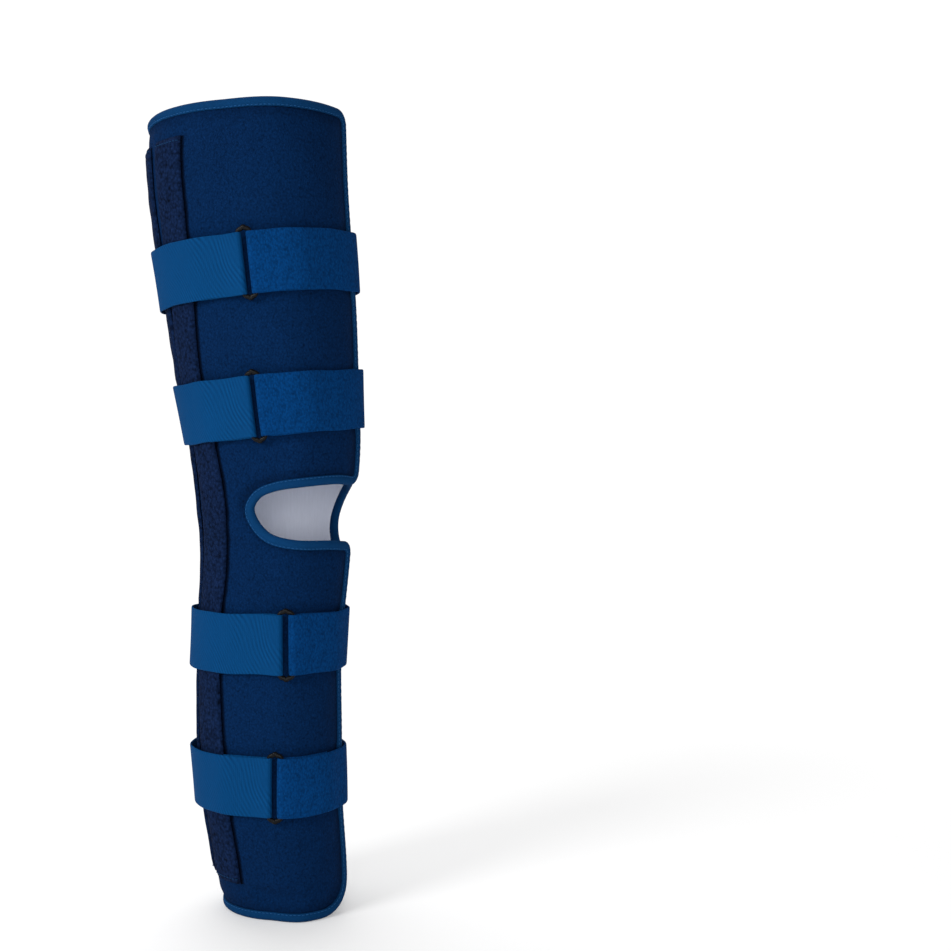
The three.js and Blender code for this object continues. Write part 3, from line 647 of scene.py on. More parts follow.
def tube(line, radius, sides, up, closed=False, flat=(1, 1)):
    """Round sections along a line; each radius may differ. flat scales a section's two axes."""
    radius = np.broadcast_to(radius, len(line))
    flat = np.broadcast_to(flat, (len(line), 2))
    run = unit(np.roll(line, -1, 0) - np.roll(line, 1, 0) if closed else np.gradient(line, axis=0))
    first = unit(np.cross(up, run))
    second = np.cross(run, first)
    angle = np.linspace(0, 2 * math.pi, sides + 1)
    arms = (
        first[:, None] * np.cos(angle)[None, :, None] * flat[:, 0, None, None]
        + second[:, None] * np.sin(angle)[None, :, None] * flat[:, 1, None, None]
    )
    rings = line[:, None] + arms * radius[:, None, None]
    return np.concatenate([rings, rings[:1]]) if closed else rings


def stitch(start, end, out, thickness, sink):
    """One stitch: a short arched thread from start to end that dips into the cloth at both."""
    shares = np.array([0, 0.06, 0.25, 0.5, 0.75, 0.94, 1])
    arch = thickness * np.array([-sink, -0.4, 0.25, 0.4, 0.25, -0.4, -sink])
    line = start + (end - start) * shares[:, None] + out * arch[:, None]
    radius = thickness / 2 * np.array([0.02, 0.7, 1, 1, 1, 0.7, 0.02])
    return tube(line, radius, 6, up=out)


def stitch_row(spots, outs, length, space, thickness):
    """Stitches of one length along a line, each on the surface's own side."""
    far = far_along(spots)
    count = int(far[-1] // (length + space))
    read = lambda points, at: paired(*(np.interp(at, far, v) for v in points.T))
    starts = np.arange(count) * far[-1] / count
    a, b, o = read(spots, starts), read(spots, starts + length), unit(read(outs, starts + length / 2))
    return [stitch(a[i], b[i], o[i], thickness, 0.9) for i in range(count)]


def cloth_mesh(grids, merge=2e-5, caps=False, face_out=None, values=()):
    """A bmesh of grids of points, joined where their borders meet. Each grid is {points, map, values}."""
    bm = bmesh.new()
    chart = bm.loops.layers.uv.new("cloth")
    layers = [bm.verts.layers.float.new(name) for name in values]
    for points, uv, *extra in grids:
        rows, columns = points.shape[:2]
        made = bmesh.ops.create_grid(bm, x_segments=columns - 1, y_segments=rows - 1, size=1)["verts"]
        co = np.array([v.co for v in made])
        low, span = co.min(0), np.maximum(np.ptp(co, axis=0), 1e-9)
        at = np.rint((co - low)[:, :2] / span[:2] * (columns - 1, rows - 1)).astype(int)
        for v, (j, i) in zip(made, at):
            v.co = points[i, j]
            for layer, value in zip(layers, extra):
                v[layer] = value[i, j]
            if uv is not None:
                for loop in v.link_loops:
                    loop[chart].uv = uv[i, j]
    bmesh.ops.remove_doubles(bm, verts=bm.verts, dist=merge)
    bmesh.ops.dissolve_degenerate(bm, edges=bm.edges, dist=merge / 4)
    if caps:
        bmesh.ops.holes_fill(bm, edges=[e for e in bm.edges if e.is_boundary], sides=0)
    bmesh.ops.recalc_face_normals(bm, faces=bm.faces)
    if face_out is not None:
        bm.normal_update()
        facing = sum(f.normal.dot(f.calc_center_median() - face_out) * f.calc_area() for f in bm.faces)
        if facing < 0:
            bmesh.ops.reverse_faces(bm, faces=bm.faces)
    return bm


def finish_piece(name, bm, material, nodes=()):
    """Makes the object, puts it on the body and lets it stand for the solids it dresses."""
    mesh = bpy.data.meshes.new(name)
    bm.to_mesh(mesh)
    bm.free()
    mesh.polygons.foreach_set("use_smooth", np.ones(len(mesh.polygons), bool))
    mesh.materials.append(material)
    piece = bpy.data.objects.new(name, mesh)
    bpy.context.scene.collection.objects.link(piece)
    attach(piece, "root")
    if nodes:
        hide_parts(*nodes)
    return piece


def feed(tree, socket, value):
    """Links a value from another node, or sets a plain one."""
    if isinstance(value, bpy.types.NodeSocket):
        tree.links.new(value, socket)
    else:
        socket.default_value = value


def node(tree, kind, inputs=None, **settings):
    made = tree.nodes.new(kind)
    for key, value in settings.items():
        setattr(made, key, value)
    for key, value in (inputs or {}).items():
        feed(tree, made.inputs[key], value)
    return made


def maths(tree, operation, a, b=0.0):
    return node(tree, "ShaderNodeMath", {0: a, 1: b}, operation=operation).outputs[0]


def noise(tree, vector, scale, detail, roughness=0.5):
    inputs = {"Vector": vector, "Scale": scale, "Detail": detail, "Roughness": roughness}
    return node(tree, "ShaderNodeTexNoise", inputs).outputs[0]


def ranged(tree, value, start=0.0, end=1.0, low=0.0, high=1.0):
    """Runs from low to high as the value runs from start to end."""
    inputs = {"Value": value, "From Min": start, "From Max": end, "To Min": low, "To Max": high}
    return node(tree, "ShaderNodeMapRange", inputs).outputs[0]


def effect(name, inputs, outputs):
    """Turns a function that lays out nodes into one that makes its node group once."""

    def dress(lay_out):
        def group():
            if name in bpy.data.node_groups:
                return bpy.data.node_groups[name]
            tree = bpy.data.node_groups.new(name, "ShaderNodeTree")
            for way, sockets in (("INPUT", inputs), ("OUTPUT", outputs)):
                for label, kind, *default in sockets:
                    sort = "NodeSocket" + kind
                    socket = tree.interface.new_socket(name=label, in_out=way, socket_type=sort)
                    if default:
                        socket.default_value = default[0]
            given, made = tree.nodes.new("NodeGroupInput"), tree.nodes.new("NodeGroupOutput")
            for (label, _), value in zip(outputs, lay_out(tree, given.outputs)):
                tree.links.new(value, made.inputs[label])
            return tree

        return group

    return dress


@effect(
    "Plain weave",
    (("Vector", "Vector"), ("Rib", "Float", 0.0012), ("Thread", "Float", 0.0009), ("Uneven", "Float", 0.4)),
    (("Height", "Float"), ("Shade", "Float")),
)
def weave_group(tree, given):
    """Plain weave: ribs along X and threads along Y, with some unevenness."""
    split = node(tree, "ShaderNodeSeparateXYZ", {0: given["Vector"]})
    rough = noise(tree, given["Vector"], 260.0, 3.0, 0.6)
    sway = maths(tree, "MULTIPLY", maths(tree, "SUBTRACT", rough, 0.5), given["Uneven"])
    wave = []
    for axis, spacing in (("X", "Rib"), ("Y", "Thread")):
        turns = maths(tree, "DIVIDE", split.outputs[axis], given[spacing])
        phase = maths(tree, "MULTIPLY", maths(tree, "ADD", turns, sway), 2 * math.pi)
        wave.append(maths(tree, "SINE", phase))
    cross = maths(tree, "MULTIPLY", wave[0], wave[1])
    rib = maths(tree, "MULTIPLY", wave[0], 0.35)
    height = maths(tree, "ADD", maths(tree, "MULTIPLY", maths(tree, "ADD", cross, rib), 0.37), 0.5)
    shade = maths(tree, "ADD", maths(tree, "MULTIPLY", height, 0.5), maths(tree, "MULTIPLY", rough, 0.5))
    return height, shade


@effect(
    "Pile",
    (("Vector", "Vector"), ("Size", "Float", 0.002), ("Stretch", "Vector", (1, 1, 1)),
     ("Tufts", "Float", 0.5)),
    (("Height", "Float"), ("Shade", "Float")),
)
def pile_group(tree, given):
    """Fibres: fine nap over coarser tufts, stretched along one way."""
    inputs = {0: given["Vector"], 1: given["Stretch"]}
    scaled = node(tree, "ShaderNodeVectorMath", inputs, operation="MULTIPLY").outputs[0]
    fine = maths(tree, "DIVIDE", 1.0, given["Size"])
    nap = noise(tree, scaled, fine, 4.0, 0.7)
    tufts = node(
        tree, "ShaderNodeTexVoronoi",
        {"Vector": scaled, "Scale": maths(tree, "MULTIPLY", fine, 0.8), "Randomness": 1.0},
        feature="SMOOTH_F1",
    )
    tuft = maths(tree, "SUBTRACT", 1.0, tufts.outputs["Distance"])
    blend = node(tree, "ShaderNodeMix", {0: given["Tufts"], 2: nap, 3: tuft}, data_type="FLOAT").outputs[0]
    return blend, ranged(tree, blend, 0.3, 0.75)


@effect("Ripples", (("Vector", "Vector"), ("Spacing", "Float", 0.003)), (("Shade", "Float"),))
def ripple_group(tree, given):
    """Slanting ripples over a woven strap, broken up by slow unevenness."""
    split = node(tree, "ShaderNodeSeparateXYZ", {0: given["Vector"]})
    slant = maths(tree, "ADD", split.outputs["X"], maths(tree, "MULTIPLY", split.outputs["Y"], 0.55))
    turns = maths(tree, "DIVIDE", slant, given["Spacing"])
    bend = maths(tree, "MULTIPLY", noise(tree, given["Vector"], 16.0, 1.0), 9.0)
    wave = maths(tree, "SINE", maths(tree, "MULTIPLY", maths(tree, "ADD", turns, bend), 2 * math.pi))
    strength = ranged(tree, noise(tree, given["Vector"], 55.0, 2.0), 0.35, 0.65)
    shade = maths(tree, "MULTIPLY", wave, strength)
    return (maths(tree, "ADD", maths(tree, "MULTIPLY", shade, 0.5), 0.5),)


# Painted shadow: a dark line on the velour beside the front edge of the first sleeve, where its shadow would
# fall.
@effect(
    "Painted sleeve shadow",
    (("Vector", "Vector"), ("Width", "Float", 0.002), ("Foot", "Float", 0.0), ("Top", "Float", 1.0)),
    (("Mask", "Float"),),
)
def painted_sleeve_shadow_group(tree, given):
    """A painted shadow line just in front of the chart's X 0, beside the first sleeve's front edge, from the
    sleeve's foot to its top.
    """
    split = node(tree, "ShaderNodeSeparateXYZ", {0: given["Vector"]})
    beside = maths(tree, "DIVIDE", split.outputs["X"], given["Width"])
    front = maths(tree, "GREATER_THAN", beside, -1.5)
    above = maths(tree, "GREATER_THAN", split.outputs["Y"], given["Foot"])
    below = maths(tree, "LESS_THAN", split.outputs["Y"], given["Top"])
    kept = maths(tree, "MULTIPLY", maths(tree, "MULTIPLY", above, below), front)
    return (maths(tree, "MULTIPLY", ranged(tree, beside, 0.5, 1.4, 1.0, 0.0), kept),)


@effect(
    "Tone",
    (("Vector", "Vector"), ("Color", "Color"), ("Amount", "Float", 0.15), ("Scale", "Float", 14.0),
     ("Mask", "Float", 0.0)),
    (("Color", "Color"),),
)
def tone_group(tree, given):
    """Slow changes of tone over a piece, and darker or lighter by the mask, which carries the painted shade.
    """
    slow = noise(tree, given["Vector"], given["Scale"], 2.0)
    drift = maths(tree, "MULTIPLY", maths(tree, "SUBTRACT", slow, 0.5), given["Amount"])
    lifted = maths(tree, "ADD", maths(tree, "MULTIPLY", drift, 2.0), 1.0)
    value = maths(tree, "ADD", lifted, given["Mask"])
    inputs = {"Hue": 0.5, "Saturation": 1.0, "Value": value, "Fac": 1.0, "Color": given["Color"]}
    return node(tree, "ShaderNodeHueSaturation", inputs).outputs


def grouped(tree, group, *values):
    """The outputs of an effect group whose inputs are given in their order."""
    made = node(tree, "ShaderNodeGroup", node_tree=group())
    for socket, value in zip(made.inputs, values):
        feed(tree, socket, value)
    return made.outputs


def bare_material(name):
    """A new material with its tree, its shader and its coordinates."""
    material = bpy.data.materials.new(name)
    material.use_nodes = True
    tree = material.node_tree
    return material, tree, tree.nodes["Principled BSDF"], node(tree, "ShaderNodeTexCoord").outputs


def cloth_material(
    name, colour, texture, shadow=0.62, light=1.25, roughness=0.9, sheen=0.05, chart=False,
    tone=(0.15, 14.0), seams=None, ripples=None,
):
    """A dyed cloth.

    texture: the effect group, its values and the depth of its relief. tone: amount and scale.
    seams: the attribute of painted shade beside the binding, how much it darkens, and the width of the
    painted shadow line beside the sleeve.
    ripples: their spacing.
    """
    material, tree, shader, coords = bare_material(name)
    place = coords["UV" if chart else "Object"]
    group, *values, depth = texture
    cloth = grouped(tree, group, place, *values)
    shade = cloth["Shade"]
    if ripples:
        wave = grouped(tree, ripple_group, place, ripples)["Shade"]
        shade = maths(tree, "ADD", maths(tree, "MULTIPLY", shade, 0.45), maths(tree, "MULTIPLY", wave, 0.55))
    dark = tuple(c * shadow for c in colour) + (1,)
    pale = tuple(min(1, c * light) for c in colour) + (1,)
    mixed = node(tree, "ShaderNodeMix", {0: shade, 6: dark, 7: pale}, data_type="RGBA")
    darker = 0.0
    if seams:
        # Painted shade: the attribute darkens the cloth in a band beside the binding.
        attribute, amount, width = seams
        near = node(tree, "ShaderNodeAttribute", attribute_name=attribute).outputs["Fac"]
        # Painted shadow: a dark line on the cloth beside the first sleeve's front edge.
        line = grouped(tree, painted_sleeve_shadow_group, coords["UV"], width, SLEEVE_FOOT, SLEEVE_TOP)["Mask"]
        beside = maths(tree, "MULTIPLY", line, 0.82)
        darker = maths(tree, "SUBTRACT", maths(tree, "MULTIPLY", near, amount), beside)
    toned = grouped(tree, tone_group, coords["Object"], mixed.outputs[2], *tone, darker)
    rough = ranged(tree, shade, low=roughness + 0.05, high=roughness - 0.08)
    bump = node(tree, "ShaderNodeBump", {"Height": cloth["Height"], "Strength": 1.0, "Distance": depth})
    look = {
        "Base Color": toned["Color"],
        "Roughness": rough,
        "Normal": bump.outputs[0],
        "Specular IOR Level": 0.03,
        "Sheen Weight": sheen,
        "Sheen Roughness": 0.45,
        "Sheen Tint": tuple(min(1, c * 2.5 + 0.01) for c in colour) + (1,),
    }
    for label, value in look.items():
        feed(tree, shader.inputs[label], value)
    return material


def thread_material(name, colour, roughness, sheen, **tones):
    """Twisted thread."""
    texture = (pile_group, 0.0006, (1, 1, 1), 0.2, 0.00005)
    return cloth_material(name, colour, texture, roughness=roughness, sheen=sheen, tone=(0.1, 60.0), **tones)


def wire_material(colour):
    """Black enamel over wire, slightly uneven in its gloss."""
    material, tree, shader, coords = bare_material("Enamelled wire")
    uneven = noise(tree, coords["Object"], 420.0, 3.0)
    toned = grouped(tree, tone_group, coords["Object"], (*colour, 1), 0.3, 180.0)
    bump = node(tree, "ShaderNodeBump", {"Height": uneven, "Distance": 0.00005})
    tree.links.new(ranged(tree, uneven, low=0.34, high=0.5), shader.inputs["Roughness"])
    tree.links.new(toned["Color"], shader.inputs["Base Color"])
    tree.links.new(bump.outputs[0], shader.inputs["Normal"])
    shader.inputs["Specular IOR Level"].default_value = 0.1
    shader.inputs["Coat Weight"].default_value = 0.03
    shader.inputs["Coat Roughness"].default_value = 0.2
    return material


def thicken(piece, thickness):
    """Gives a sheet its thickness inward."""
    wall = piece.modifiers.new("Wall", "SOLIDIFY")
    wall.thickness = thickness
    wall.offset = -1
    return wall


def aim_from(scene, holder, place, sight):
    """Stands a lamp or the camera at a place, looking along the sight."""
    holder.location = place
    holder.rotation_euler = sight.to_track_quat("-Z", "Y").to_euler()
    scene.collection.objects.link(holder)


def swell(piece, held, most):
    """Lets the foam swell between what holds it down, as a short cloth simulation."""
    rest = np.array([v.co for v in piece.data.vertices])
    normals = np.array([v.normal for v in piece.data.vertices])
    group = piece.vertex_groups.new(name="held")
    for i, weight in enumerate(held):
        group.add([i], float(weight), "REPLACE")
    cloth = piece.modifiers.new("Foam", "CLOTH")
    cloth.settings.quality = 4
    cloth.settings.mass = 0.2
    cloth.settings.tension_stiffness = cloth.settings.compression_stiffness = 8
    cloth.settings.shear_stiffness = 4
    cloth.settings.bending_stiffness = 0.6
    cloth.settings.vertex_group_mass = "held"
    cloth.settings.pin_stiffness = 1
    cloth.settings.use_pressure = True
    cloth.settings.uniform_pressure_force = 4
    cloth.settings.shrink_min = -0.012
    cloth.settings.effector_weights.gravity = 0
    cloth.collision_settings.use_collision = False
    cloth.point_cache.frame_start, cloth.point_cache.frame_end = 1, SWELL_FRAMES
    for number in range(SWELL_FRAMES):
        bpy.context.scene.frame_set(number + 1)
    shape = piece.evaluated_get(bpy.context.evaluated_depsgraph_get()).to_mesh()
    moved = np.array([v.co for v in shape.vertices]) - rest
    piece.modifiers.remove(cloth)
    bpy.context.scene.frame_set(1)
    outward = (moved * normals).sum(1)
    moved -= normals * np.minimum(outward, 0)[:, None]
    far = np.linalg.norm(moved, axis=1)
    capped = most * np.tanh(far / most)
    moved *= (capped / np.maximum(far, 1e-9))[:, None]
    piece.data.vertices.foreach_set("co", (rest + moved).ravel())
    piece.data.update()


def sleeve_wander(z, sleeve):
    """How far a sleeve strays toward the back from its straight line."""
    phase = sleeve[1] / 40 + sleeve[3]
    forward = along(SLEEVE_FORWARD, z / FULL_HEIGHT) if sleeve is SLEEVES[0] else 0
    return 0.0007 * np.sin(z * 33 + phase) + 0.0004 * np.sin(z * 81 + 2 * phase) - forward


def panel_grids(wrap, cell, depth_at, values_at=lambda turn, z, away: ()):
    """Grids over the panel inside its bindings, charted from the first sleeve's front edge."""
    sleeve = SLEEVES[0]
    grids = []
    for patch in wrap.patches(cell, 3, SEAM_INSET):
        turn, z = patch[..., 0], patch[..., 1]
        away = wrap.edge_distance(patch.reshape(-1, 2), cell).reshape(turn.shape)
        points = wrap.place(turn, z, depth_at(turn, z, away))
        aside = np.radians(turn - sleeve[1]) * wrap.girth(z) + sleeve_wander(z, sleeve)
        grids.append((points, paired(aside, z), *values_at(turn, z, away)))
    return grids


def foam_relief(wrap, width, turn, z, away):
    """Depth of the velour face, which its binding, sleeves and straps hold down."""
    drawn = -0.0017 * (1 - smooth((away - SEAM_INSET) / 0.013))
    pressed = -0.0009 * wrap.strap_cover(turn, z, width, 0.008)
    grooved = -0.0012 * (1 - wrap.sleeve_cover(turn, z, 0.0035)) * wrap.sleeve_cover(turn, z, 0.007)
    first, last = CREASE_TURNS
    beside = (z - CREASE_LEVEL + (turn - first) * CREASE_FALL) / CREASE_REACH
    fade = smooth((turn - first + 2) / 9) * smooth((last - turn) / 12)
    crease = (0.0009 * np.exp(-((beside - 2.2) ** 2)) - 0.0038 * np.exp(-beside * beside)) * fade
    aside = turn - DRAG_TURN
    knee = smooth((0.075 - np.abs(z - DRAG_LEVEL)) / 0.06) * np.exp(-((aside / 26) ** 2))
    drag = 0.0007 * np.sin((z + np.radians(aside) * 0.045) * 260) * knee
    return drawn + pressed + crease + grooved + drag


class KNEE_OT_foam_panel(bpy.types.Operator):
    """Builds the foam panel with its velour face, swollen between its straps and seams"""

    bl_idname = "knee.foam_panel"
    bl_label = "Foam panel"

    def execute(self, context):
        sizes, straps = context.scene.knee_wrap, context.scene.knee_straps
        wrap = Wrap(sizes)

        def depth(turn, z, away):
            return foam_relief(wrap, straps.width, turn, z, away)

        def values(turn, z, away):
            inside = away - SEAM_INSET
            strap = wrap.strap_cover(turn, z, straps.width, 0.012)
            sleeve = wrap.sleeve_cover(turn, z, 0.006)
            under_lap = 1 - smooth((turn - 20) / 8)
            held = np.maximum.reduce([1 - smooth(inside / 0.008), strap, sleeve, under_lap])
            full = np.clip(1 + depth(turn, z, away) / (sizes.foam * (1 - THIN_SHARE)), 0, 1)
            # Painted shade: darkens the velour in a band just inside the binding, where shade would fall
            # beside the tape.
            near = np.exp(-(((away - 0.0085) / 0.0036) ** 2))
            return held, np.minimum(smooth(inside / 0.006), full), near

        grids = panel_grids(wrap, sizes.cells, depth, values)
        bm = cloth_mesh(grids, face_out=FACE_FROM, values=("held", "foam", "painted_seam_shade"))
        layers = [bm.verts.layers.float[name] for name in ("held", "foam")]
        held, foam = ([v[layer] for v in bm.verts] for layer in layers)
        # The seams entry paints shade beside the binding and a shadow line beside the first sleeve.
        velour = cloth_material(
            "Velour", context.scene.knee_colours.velour, (pile_group, 0.0013, (1, 1, 0.8), 0.25, 0.00035),
            shadow=0.45, light=1.6, roughness=0.95, tone=(0.16, 11.0), seams=("painted_seam_shade", -0.4, 0.0027),
        )
        piece = finish_piece("velour_panel", bm, velour, ["foam_panel"])
        swell(piece, held, sizes.swell)
        thickness = piece.vertex_groups.new(name="foam thickness")
        for i, value in enumerate(foam):
            thickness.add([i], value, "REPLACE")
        rounder = piece.modifiers.new("Rounder", "SUBSURF")
        rounder.levels = rounder.render_levels = 1
        wall = thicken(piece, sizes.foam)
        wall.vertex_group = thickness.name
        wall.thickness_vertex_group = THIN_SHARE
        return {"FINISHED"}


class KNEE_OT_lining(bpy.types.Operator):
    """Builds the lining on the inside of the panel"""

    bl_idname = "knee.lining"
    bl_label = "Lining"

    def execute(self, context):
        sizes = context.scene.knee_wrap

        def depth(turn, z, away):
            return 0.0011 * (1 - smooth((away - SEAM_INSET) / 0.006)) - sizes.foam - sizes.gap

        bm = cloth_mesh(panel_grids(Wrap(sizes), 0.009, depth), face_out=FACE_FROM)
        cloth = cloth_material(
            "Brushed lining", context.scene.knee_colours.lining,
            (pile_group, 0.003, (1.6, 1.6, 0.18), 0.1, 0.0002),
            shadow=0.95, light=1.03, tone=(0.05, 20.0),
        )
        piece = finish_piece("inner_lining", bm, cloth, ["lining"])
        thicken(piece, sizes.lining)
        return {"FINISHED"}


class KNEE_OT_binding(bpy.types.Operator):
    """Builds the binding tape round the whole cut edge, with its two rows of stitches"""

    bl_idname = "knee.binding"
    bl_label = "Binding and stitches"

    def execute(self, context):
        sizes, colours = context.scene.knee_wrap, context.scene.knee_colours
        wrap = Wrap(sizes)
        edge, seam = wrap.perimeter(0.0028, 10, sizes.tape_width)
        inset = np.array([p[0] for p in TAPE_PROFILE + TAPE_PROFILE[::-1]])
        sunk = np.array([p[1] for p in TAPE_PROFILE])
        depth = np.concatenate([-sunk, -wrap.wall + sunk[::-1]])
        spots = edge[:, None] + (seam - edge)[:, None] * inset[None, :, None]
        points = wrap.place(spots[..., 0], spots[..., 1], depth[None])
        middle_line = wrap.place(edge[:, 0], edge[:, 1], -wrap.wall / 2)
        far = far_along(np.vstack([middle_line, middle_line[:1]]))
        gather = 0.00012 * np.sin(far[:-1] * 2 * math.pi / 0.0062)
        outward = unit(points - points.mean(1)[:, None])
        points = points + outward * (gather[:, None] * (inset > 0.3) * (inset < 0.95))[..., None]
        closed = np.concatenate([points, points[:, :1]], 1)
        closed = np.concatenate([closed, closed[:1]], 0)
        around = np.arange(len(inset) + 1) * 0.0012
        chart = paired(far[:, None], around[None])
        tape = cloth_material(
            "Binding tape", colours.binding, (weave_group, 0.0013, 0.0009, 0.5, 0.00018),
            shadow=0.7, roughness=0.85, chart=True, tone=(0.12, 30.0),
        )
        nodes = [f"binding_{place}" for place in ("top", "base", "outer_edge", "inner_edge")]
        finish_piece("edge_binding", cloth_mesh([(closed, chart)]), tape, nodes)
        line = edge + (seam - edge) * 0.86
        line = np.vstack([line, line[:1]])
        grids = []
        for level, sense in ((-0.0006, 1), (-wrap.wall + 0.0006, -1)):
            row = wrap.place(line[:, 0], line[:, 1], level)
            out = wrap.place(line[:, 0], line[:, 1], level + sense * 0.001) - row
            grids += [(g, None) for g in stitch_row(row, out, 0.0027, 0.0008, 0.0006)]
        thread = thread_material("Thread", colours.thread, 0.6, 0.2)
        finish_piece("binding_stitches", cloth_mesh(grids, merge=2e-6, caps=True), thread)
        return {"FINISHED"}


class KNEE_OT_hook_strips(bpy.types.Operator):
    """Builds the hook tape that shows past the front flap's edge"""

    bl_idname = "knee.hook_strips"
    bl_label = "Hook strips"

    def execute(self, context):
        sizes = context.scene.knee_wrap
        wrap = Wrap(sizes)
        hook = cloth_material(
            "Hook tape", context.scene.knee_colours.hook, (weave_group, 0.0016, 0.0016, 0.3, 0.0005),
            shadow=0.5, light=1.4, roughness=0.7, sheen=0.1, chart=True, tone=(0.12, 30.0),
        )
        clear = sizes.window_height / 2 + 0.022
        rim_space, slant, hidden = 0.025, 0.009, 0.018
        width = hidden + sizes.hook_shown
        spans = (
            ("upper", sizes.knee_level + clear, sizes.height - rim_space, 0, -slant),
            ("lower", rim_space, sizes.knee_level - clear, slant, 0),
        )
        across, thick = rounded_profile(((0, 0.3), (0.01, 0.8)), 0.05, 9)
        ends, thin = rounded_profile(((0, 0.3), (0.002, 0.8)), 0.01, 80)
        middle = -wrap.wall - sizes.soft_gap - sizes.hook_thickness / 2
        half = thick[None] * thin[:, None] * sizes.hook_thickness / 2
        for name, foot, top, foot_slant, top_slant in spans:
            low, high = foot + foot_slant * across, top + top_slant * across
            z = low[None] + (high - low)[None] * ends[:, None]
            turn = wrap.flap_turn(OUTER_FLAP, hidden - width * across[None], z)
            ring = closed_sections(wrap.place(turn, z, middle + half), wrap.place(turn, z, middle - half))
            bm = cloth_mesh([(ring, section_chart(ends * (top - foot), across, width))], caps=True)
            piece = finish_piece(f"hook_tape_{name}", bm, hook, [f"hook_strip_{name}"])
        return {"FINISHED"}


class KNEE_OT_stay_sleeves(bpy.types.Operator):
    """Builds the four coarse sleeves that hold the stays, sewn down at both ends"""

    bl_idname = "knee.stay_sleeves"
    bl_label = "Stay sleeves"

    def execute(self, context):
        sizes, colours = context.scene.knee_wrap, context.scene.knee_colours
        wrap = Wrap(sizes)
        coarse = cloth_material(
            "Sleeve cloth", colours.sleeve, (pile_group, 0.0021, (1, 1, 1), 0.45, 0.0006),
            shadow=0.2, light=2.4, roughness=0.95, sheen=0.04, tone=(0.2, 25.0),
        )
        dull = tuple(0.45 * c for c in colours.thread)
        thread = thread_material("Sleeve thread", dull, 0.7, 0.1, shadow=0.7, light=1.1)
        across, rise = rounded_profile(((0, 0.12), (0.012, 0.5), (0.04, 0.8), (0.08, 0.93)), 0.14, 8)
        ends, close = rounded_profile(((0, 0.15), (0.0012, 0.5), (0.004, 0.62), (0.009, 0.9)), 0.016, 110)
        z = (SLEEVE_FOOT + (SLEEVE_TOP - SLEEVE_FOOT) * ends)[:, None] + 0 * across[None]
        rows = []
        for sleeve in SLEEVES:
            name, side, _, place = sleeve
            phase = side / 40 + place
            turn = wrap.sleeve_turn(sleeve, across[None] * sizes.sleeve_width, z)
            under_strap = wrap.strap_cover(turn, z, context.scene.knee_straps.width, 0.006)
            rumple = 0.00035 * np.sin(z * 210 + across[None] * 3 + phase) * np.sin(z * 47 + phase)
            rumple = rumple * (1 - under_strap) * np.sin(across * math.pi)[None]
            height = sizes.sleeve_thickness * rise[None] * close[:, None] * (1 - 0.12 * under_strap)
            face = wrap.place(turn, z, sizes.soft_gap + height + rumple)
            bm = cloth_mesh([(closed_sections(face, wrap.place(turn, z, sizes.soft_gap)), None)], caps=True)
            piece = finish_piece(f"sleeve_{name}", bm, coarse, [f"stay_sleeve_{name}"])
            for level in (SLEEVE_FOOT + SLEEVE_SEAM, SLEEVE_TOP - SLEEVE_SEAM):
                at = wrap.sleeve_turn(sleeve, np.linspace(0.04, 0.96, 24) * sizes.sleeve_width, level)
                depth = sizes.soft_gap + sizes.sleeve_thickness * 0.78
                spots = wrap.place(at, level, depth)
                outs = wrap.place(at, level, depth + 0.001) - spots
                rows += [(g, None) for g in stitch_row(spots, outs, 0.0026, 0.0009, 0.0008)]
        finish_piece("sleeve_stitches", cloth_mesh(rows, merge=2e-6, caps=True), thread)
        return {"FINISHED"}


class KNEE_OT_straps(bpy.types.Operator):
    """Builds the four straps: smooth webbing to one side of each ring and loop tape to the other"""

    bl_idname = "knee.straps"
    bl_label = "Straps"

    def execute(self, context):
        sizes, colours = context.scene.knee_straps, context.scene.knee_colours
        wrap = Wrap(context.scene.knee_wrap)
        gap = wrap.s.gap
        webbing = cloth_material(
            "Webbing", colours.webbing, (weave_group, 0.0017, 0.0011, 0.35, 0.00022),
            shadow=0.6, light=1.4, roughness=0.78, chart=True, tone=(0.08, 18.0), ripples=0.0034,
        )
        loops = cloth_material(
            "Loop tape", colours.loop, (pile_group, 0.0011, (1, 0.6, 1), 0.4, 0.0005),
            shadow=0.5, light=1.5, roughness=0.95, sheen=0.06, chart=True, tone=(0.12, 18.0),
        )
        for number, strap in enumerate(STRAPS, 1):
            lower, upper = strap_edges(wrap, strap, sizes.width)
            loop_length = lower.distance_to(LOOP_END_TURN)
            band_length = lower.total - lower.distance_to(TAB_TURN) - sizes.width / 2
            step = lower.total / 48
            ramp = lower.total - loop_length - step

            def climb(d):
                return (sizes.loop + wrap.s.soft_gap) * smooth((d - ramp + 2 * step) / (2 * step))

            parts = (
                ("webbing", sizes.band, -1, band_length, climb, True, webbing, "strap_band"),
                ("loop_tape", sizes.loop, 1, loop_length, np.zeros_like, False, loops, "loop_tape"),
            )
            for name, thickness, way, length, lifts, tab, cloth, solid in parts:
                route = fold_route(sizes, gap, thickness, way, length, lifts)
                ring, chart = strap_sections(lower, upper, route, thickness, sizes.width, tab, number)
                bm = cloth_mesh([(ring, chart)], caps=True)
                piece = finish_piece(f"strap_{number}_{name}", bm, cloth, [f"{solid}_{number}"])
        return {"FINISHED"}


